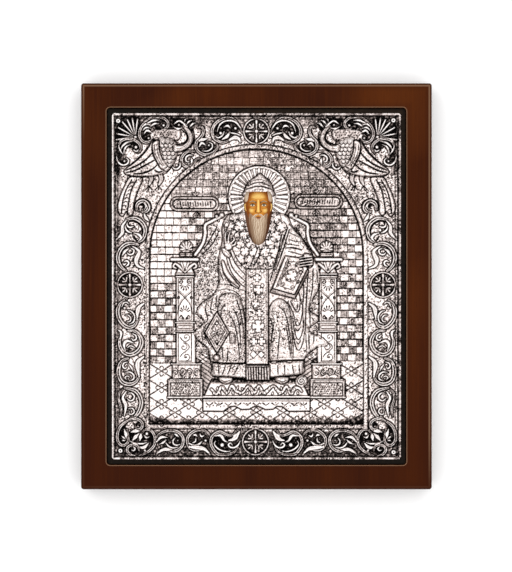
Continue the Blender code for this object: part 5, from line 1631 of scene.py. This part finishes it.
def paint_hair(art):
    """Locks at the temples, and a long fall of wavy beard from the cheeks to a point."""
    for way in (-1, 1):
        art.brush(way, (1, [(5.9, 51.4), (6.6, 49), (6.7, 46.6)], (0.9, 1.2, 0.7), HAIR, 0.3))
        for shift in (-0.7, -0.1, 0.5):
            lock = np.array([(5.8, 51.4), (6.4, 48.8), (6.5, 46.6)]) + (shift, 0)
            art.brush(way, (0.85, lock, (0.1, 0.24, 0.08), HAIR_LIGHT, 0.6),
                      (0.7, lock + (0.32, 0), (0.08, 0.16, 0.06), HAIR_DARK, 0.6))
    x, y, side = art.x, art.y, np.abs(art.x)
    down = clamp((39.6 - y) / (39.6 - FACE_TIP))
    reach = 4.7 - 0.7 * down - 2.6 * down ** 3
    line = 39.4 - 1.9 * soft_step(side, 4.6, 1.6)
    beard = soft_step(line - y, -0.35, 0.5) * (1 - soft_step(side, reach - 0.3, reach + 0.6))
    beard *= soft_step(y, 22.4, 23.2)
    art.lay(beard, HAIR)
    wave = x * (1 + 0.35 * down) + 0.3 * np.sin(y * 0.75) * np.sign(x) + 0.14 * np.sin(y * 2.1 + x)
    for pitch, turn, share in ((4.4, 0.0, 0.6), (10.0, 1.4, 0.5)):
        strand = 0.5 + 0.5 * np.sin(wave * pitch + turn * np.sin(y * 0.9))
        art.lay(share * beard * soft_step(strand, 0.55, 0.95), HAIR_LIGHT)
        art.lay(share * beard * soft_step(strand, 0.4, 0.05), HAIR_DARK)
    for share, value, start in ((0.7, side / reach, 0.45), (0.45, -x / reach, 0.2), (0.55, down, 0.6)):
        art.lay(share * beard * soft_step(value, start, 1.0), HAIR_DARK)


def paint_mouth(art):
    """The lips, and the moustache that falls either side of them."""
    art.lay(0.85 * art.spot(0, 37.3, 1.5, 0.75, 0.7), SKIN_DARK)
    between = [(-1.25, 37.3), (-0.45, 37.5), (0.45, 37.5), (1.25, 37.3)]
    art.brush(1, (0.95, between, (0.12, 0.22, 0.12), "#5E3420"),
              (0.85, [(-0.8, 36.9), (0, 36.75), (0.8, 36.9)], (0.16, 0.28, 0.16), "#A0603C"))
    broad, fine = (0.16, 0.5, 0.45, 0.1), (0.06, 0.15, 0.14, 0.05)
    for way in (-1, 1):
        for drop, halves, code in ((0.0, broad, HAIR), (0.35, fine, HAIR_LIGHT), (-0.3, fine, HAIR_LIGHT),
                                   (0.12, fine, HAIR_DARK)):
            lock = [(0.25, 39.0 - drop * 0.6), (1.7, 38.5 - drop), (3.1, 36.8 - drop), (3.5, 34.4 - drop)]
            art.brush(way, (0.85, lock, halves, code))


def painted_face(x, y):
    """The face, hair and beard, as linear colours."""
    art = Paint(x - FACE_X, y, BLACK_GROUND)
    x = art.x
    art.lay(soft_step(y, 44, 48), "#86603F")
    art.lay(soft_step(-y, -44, -40), "#55321F")
    art.lay(0.6 * soft_step(-x, 2, 5) * soft_step(y, 24, 32), "#7A5640")
    for way in (-1, 1):
        art.lay(art.spot(way * 6.7, 42.9, 1.2, 2.7, 0.3), SKIN_DARK)
        ear = [(6.3, 44.6), (7.1, 44.4), (7.2, 42.8), (6.6, 41)]
        art.brush(way, (0.9, ear, (0.2, 0.4, 0.3, 0.2), SKIN_LIGHT))
    head = 1 - soft_step(np.hypot(x / 6.9, (y - 44.2) / 10.6), 0.94, 1.04)
    art.lay(head, SKIN_DARK)
    art.lay(head * (1 - soft_step(np.hypot(x / 6.1, (y - 44.6) / 9.6), 0.55, 1.0)), SKIN)
    paint_features(art)
    paint_eyes(art)
    paint_hair(art)
    paint_mouth(art)
    return art.colour


# Sizes and colours

def colour_property(name, code, words):
    return FloatVectorProperty(name=name, description=words, default=linear(code), subtype="COLOR", size=3,
                               min=0.0, max=1.0)


def length_property(name, size, words, **limits):
    return FloatProperty(name=name, description=words, default=size, unit="LENGTH", precision=5, **limits)


class IconSettings(PropertyGroup):
    """The sizes and colours of the icon and its stage."""

    relief_step: length_property("Relief step", 0.26 * MM, "Spacing of the relief's vertices",
                                 min=0.15 * MM, max=2 * MM)
    paint_step: length_property("Paint step", 0.13 * MM, "Spacing of the painted face's vertices",
                                min=0.08 * MM, max=2 * MM)
    cover_corner: length_property("Cover corner", 2.5 * MM, "Radius of the silver cover's corners")
    mottle: FloatProperty(name="Mottle", description="How much grey speckle stays on the silver",
                          default=0.35, min=0.0, max=1.0, subtype="FACTOR")
    silver: colour_property("Silver", "#F4F0EE", "Rubbed silver on the high places")
    bloom: colour_property("Bloom", "#D6C8C3", "Half-rubbed silver on the matt ground")
    tarnish: colour_property("Tarnish", "#6F6460", "Grey tarnish beside the hollows")
    sulphide: colour_property("Sulphide", "#0C0A0A", "Black left in the hollows")
    wood_dark: colour_property("Dark wood", "#331204", "The walnut's darkest bands")
    wood_mid: colour_property("Middle wood", "#421A03", "The walnut's own colour")
    # The light wood colour is also the colour of the painted sheen
    wood_light: colour_property("Light wood", "#63300C", "The walnut's lightest fibres")
    # The wood edge colour is a painted highlight on the eased edges
    wood_edge: colour_property("Wood edge", "#8A6A52", "Stain rubbed thin on the eased edges")
    floor: colour_property("Floor", "#FBFBFB", "The paper the icon lies on")
    light_power: FloatProperty(name="Light power", description="Power of the soft light overhead, in watts",
                               default=15.0, min=0.0)
    camera_height: length_property("Camera height", 1.02, "The camera's height over the floor")


# Operators

def cover_edge(x, y, corner):
    """Distance inside the cover's rounded rectangle; negative outside."""
    dx, dy = np.abs(x) - (COVER_X / 2 - corner), np.abs(y) - (COVER_Y / 2 - corner)
    return corner - np.hypot(np.clip(dx, 0, None), np.clip(dy, 0, None)) - np.minimum(np.maximum(dx, dy), 0)


def nearest_on(path, x, y):
    """The nearest points to x, y on a closed path."""
    best, bx, by = np.full(x.shape, FAR), x.copy(), y.copy()
    for a, b in zip(path, np.roll(path, -1, axis=0)):
        t, off = off_run(x, y, a, b)
        closer = off < best
        best = np.where(closer, off, best)
        bx, by = (np.where(closer, start + t * run, old) for start, run, old in zip(a, b - a, (bx, by)))
    return bx, by


def middle(values):
    """A grid's values at the middles of its cells."""
    return (values[:-1, :-1] + values[:-1, 1:] + values[1:, :-1] + values[1:, 1:]) / 4


class ICON_OT_cover(Operator):
    """Embosses the silver cover and cuts it into its named areas"""

    bl_idname = "icon.cover"
    bl_label = "Silver Cover"

    def execute(self, context):
        settings = context.scene.icon
        step = settings.relief_step / MM * 1
        sheet = embossed_sheet(step)
        material = silver_material(settings)
        # Heights sloping either side of each vertex give the surface's true direction across the cuts
        down, across = np.gradient(sheet.z, step)
        facing = np.stack([-across, -down, np.ones_like(down)], axis=-1)
        facing /= np.linalg.norm(facing, axis=-1, keepdims=True)
        hole, x, y = self.fit_edges(sheet, step, settings.cover_corner / MM)
        here = (middle(hole) < 0) & (middle(cover_edge(sheet.gx, sheet.gy, settings.cover_corner / MM)) > 0)
        label = sheet.part[:-1, :-1]
        above = middle(sheet.gy) > BORDER_FOOT
        label = np.where((label == FOOT) & above, np.where(middle(sheet.gx) < 0, LEFT, RIGHT), label)
        for number, name in enumerate(AREAS):
            cells = untouching(here & (label == number))
            label = np.where(cells, number, label)
            rows, cols = (np.flatnonzero(cells.any(axis=axis)) for axis in (1, 0))
            window = slice(rows[0], rows[-1] + 2), slice(cols[0], cols[-1] + 2)
            unwanted = ~cells[rows[0]:rows[-1] + 1, cols[0]:cols[-1] + 1]
            piece = add_grid(name, material, x[window], y[window], GROUND_Z + sheet.z[window])
            mark(piece.data, "oxide", sheet.oxide[window])
            mark(piece.data, "matt", sheet.matt[window])
            mark(piece.data, "facing", facing[window], "FLOAT_VECTOR", "vector")
            self.cut(piece, unwanted.ravel())
            keep(piece, "silver_riza")
        return {"FINISHED"}

    def fit_edges(self, sheet, step, corner):
        """The distance inside the opening, and the grid drawn onto the opening's edge and the corners."""
        x, y = sheet.gx.copy(), sheet.gy.copy()
        window, opened = sheet.area_field(face_outline(), 2 * step)
        hole = np.full(x.shape, -FAR)
        hole[window] = opened
        snap = 0.75 * step
        near_hole = np.abs(hole) < snap
        x[near_hole], y[near_hole] = nearest_on(face_outline(), x[near_hole], y[near_hole])
        hub_x, hub_y = COVER_X / 2 - corner, COVER_Y / 2 - corner
        near_corner = (np.abs(x) > hub_x) & (np.abs(y) > hub_y)
        near_corner &= np.abs(cover_edge(x, y, corner)) < snap
        hub_x, hub_y = np.sign(x) * hub_x, np.sign(y) * hub_y
        reach = np.maximum(np.hypot(x - hub_x, y - hub_y), 1e-6)
        x = np.where(near_corner, hub_x + (x - hub_x) * corner / reach, x)
        y = np.where(near_corner, hub_y + (y - hub_y) * corner / reach, y)
        return hole, x, y

    def cut(self, piece, unwanted):
        """Deletes the unwanted faces of a sheet and thickens what is left."""
        mesh = piece.data
        delete_faces(mesh, unwanted)
        top_faces = len(mesh.polygons)
        close_below(piece, COVER_LOW.z)
        # Only the embossed face takes the sheet's own directions; walls and back keep theirs
        facing = read(mesh.attributes["facing"].data, "vector", 3, np.float32)
        directions = facing[read(mesh.loops, "vertex_index")]
        directions[read(mesh.polygons, "loop_total")[:top_faces].sum():] = 0
        mesh.attributes.remove(mesh.attributes["facing"])
        mesh.normals_split_custom_set(directions)


class ICON_OT_paint(Operator):
    """Makes the panel behind the cover, black with a painted face where the cover is open"""

    bl_idname = "icon.paint"
    bl_label = "Painted Panel"

    def execute(self, context):
        step = context.scene.icon.paint_step / MM * 1
        reach = FACE_HALF + FACE_MARGIN
        xs, ys = (
            np.concatenate([[low], np.linspace(start, end, round((end - start) / step)), [high]])
            for low, start, end, high in (
                (PANEL_LOW.x, FACE_X - reach, FACE_X + reach, PANEL_HIGH.x),
                (PANEL_LOW.y, FACE_TIP - FACE_MARGIN, FACE_TOP + FACE_MARGIN, PANEL_HIGH.y),
            )
        )
        gx, gy = np.meshgrid(xs, ys)
        panel = add_grid("painted_panel_board", paint_material(), gx, gy, np.full(gx.shape, PANEL_HIGH.z))
        colour = np.ones(gx.shape + (4,))
        colour[..., :3] = painted_face(gx, gy)
        colour[[0, -1], :, :3] = colour[:, [0, -1], :3] = linear(BLACK_GROUND)
        mark(panel.data, "paint", colour, "FLOAT_COLOR", "color")
        close_below(panel, PANEL_LOW.z)
        keep(panel, "painted_panel")
        return {"FINISHED"}


class ICON_OT_pins(Operator):
    """Makes the four domed pins that hold the cover at its corners"""

    bl_idname = "icon.pins"
    bl_label = "Corner Pins"

    def execute(self, context):
        material = pin_material(context.scene.icon)
        head, rim, shank = 0.7, 0.58, 1.0  # millimetres high, share of the radius, millimetres long
        for node in PINS:
            low, high = node_box(node)
            centre, radius = (low + high) / 2, (high.x - low.x) / 2
            deselect()
            bpy.ops.mesh.primitive_uv_sphere_add(segments=32, ring_count=16, radius=radius * MM)
            pin = take_last(node + "_head", material)
            x, y, z = read(pin.data.vertices, "co", 3, float).T / MM
            off = np.hypot(x, y) / radius
            top = head * np.sqrt(clamp(1 - (np.abs(off - rim) / (1 - rim)) ** 2))
            top = np.where(off < rim, 0.2 * head + 0.8 * top, top)
            below = max(low.z, high.z - head - shank)
            z = np.where(z > -1e-4, high.z - head + top, below)
            put_vertices(pin.data, x + centre.x, y + centre.y, z)
            mark(pin.data, "oxide", clamp(1.4 - 2.6 * off))
            mode("EDIT")
            bpy.ops.mesh.select_all(action="SELECT")
            bpy.ops.mesh.remove_doubles(threshold=0.0001 * MM)
            bpy.ops.mesh.faces_shade_smooth()
            mode("OBJECT")
            keep(pin, node)
        return {"FINISHED"}


class ICON_OT_board(Operator):
    """Finishes the recessed board in varnished walnut"""

    bl_idname = "icon.board"
    bl_label = "Walnut Board"

    def execute(self, context):
        material = walnut_material(context.scene.icon)
        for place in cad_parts["wooden_board"].material_slots:
            place.material = material
        return {"FINISHED"}


class ICON_OT_stage(Operator):
    """Lays the paper, hangs the soft lights and sets the camera straight above"""

    bl_idname = "icon.stage"
    bl_label = "Stage"

    def execute(self, context):
        settings = context.scene.icon
        deselect()
        bpy.ops.mesh.primitive_plane_add(size=8)
        floor = take_last("paper_floor", floor_material(settings))
        for name, place, size, power in (
            ("overhead", (0.0, 0.1, 1.45), 2.0, settings.light_power),
            ("window", (-1.5, 1.2, 1.1), 0.9, 3.0),
            ("fill", (1.3, -0.6, 0.9), 0.9, 1.3),
        ):
            bpy.ops.object.light_add(type="AREA", location=place)
            light = bpy.context.object
            light.name = light.data.name = name
            light.data.energy, light.data.size = power, size
            light.rotation_euler = (Vector() - Vector(place)).to_track_quat("-Z", "Y").to_euler()
        world = context.scene.world = bpy.data.worlds.new("studio")
        world.use_nodes = True
        sky = world.node_tree.nodes["Background"].inputs
        sky["Color"].default_value = (*linear("#FFFFFF"), 1)
        sky["Strength"].default_value = 0.75
        view = context.scene.view_settings
        view.view_transform, view.look, view.exposure, view.gamma = "Standard", "None", 0.0, 1.0
        place = -0.24 * MM, 0.16 * MM, settings.camera_height
        bpy.ops.object.camera_add(location=place, rotation=(0, 0, 0))
        camera = context.scene.camera = bpy.context.object
        camera.name = "front_view"
        camera.data.sensor_fit = "VERTICAL"
        distance = settings.camera_height - BOARD_HIGH.z * MM
        camera.data.lens = camera.data.sensor_height * distance / (VIEW_HEIGHT * MM)
        camera.data.clip_start, camera.data.clip_end = 0.01, 20
        return {"FINISHED"}


class ICON_PT_panel(Panel):
    """Lists the icon's sizes, colours and operators"""

    bl_idname = "ICON_PT_panel"
    bl_label = "Framed Silver Icon"
    bl_space_type = "VIEW_3D"
    bl_region_type = "UI"
    bl_category = "Icon"

    def draw(self, context):
        for step in STEPS:
            self.layout.operator(step.bl_idname)
        for name in IconSettings.__annotations__:
            self.layout.prop(context.scene.icon, name)


STEPS = (ICON_OT_board, ICON_OT_paint, ICON_OT_cover, ICON_OT_pins, ICON_OT_stage)


def register():
    for kind in (IconSettings, *STEPS, ICON_PT_panel):
        bpy.utils.register_class(kind)
    bpy.types.Scene.icon = PointerProperty(type=IconSettings)


def unregister():
    del bpy.types.Scene.icon
    for kind in (ICON_PT_panel, *reversed(STEPS), IconSettings):
        bpy.utils.unregister_class(kind)


def main():
    register()
    bpy.ops.icon.board()
    bpy.ops.icon.paint()
    bpy.ops.icon.cover()
    bpy.ops.icon.pins()
    bpy.ops.icon.stage()


if __name__ == "__main__":
    main()
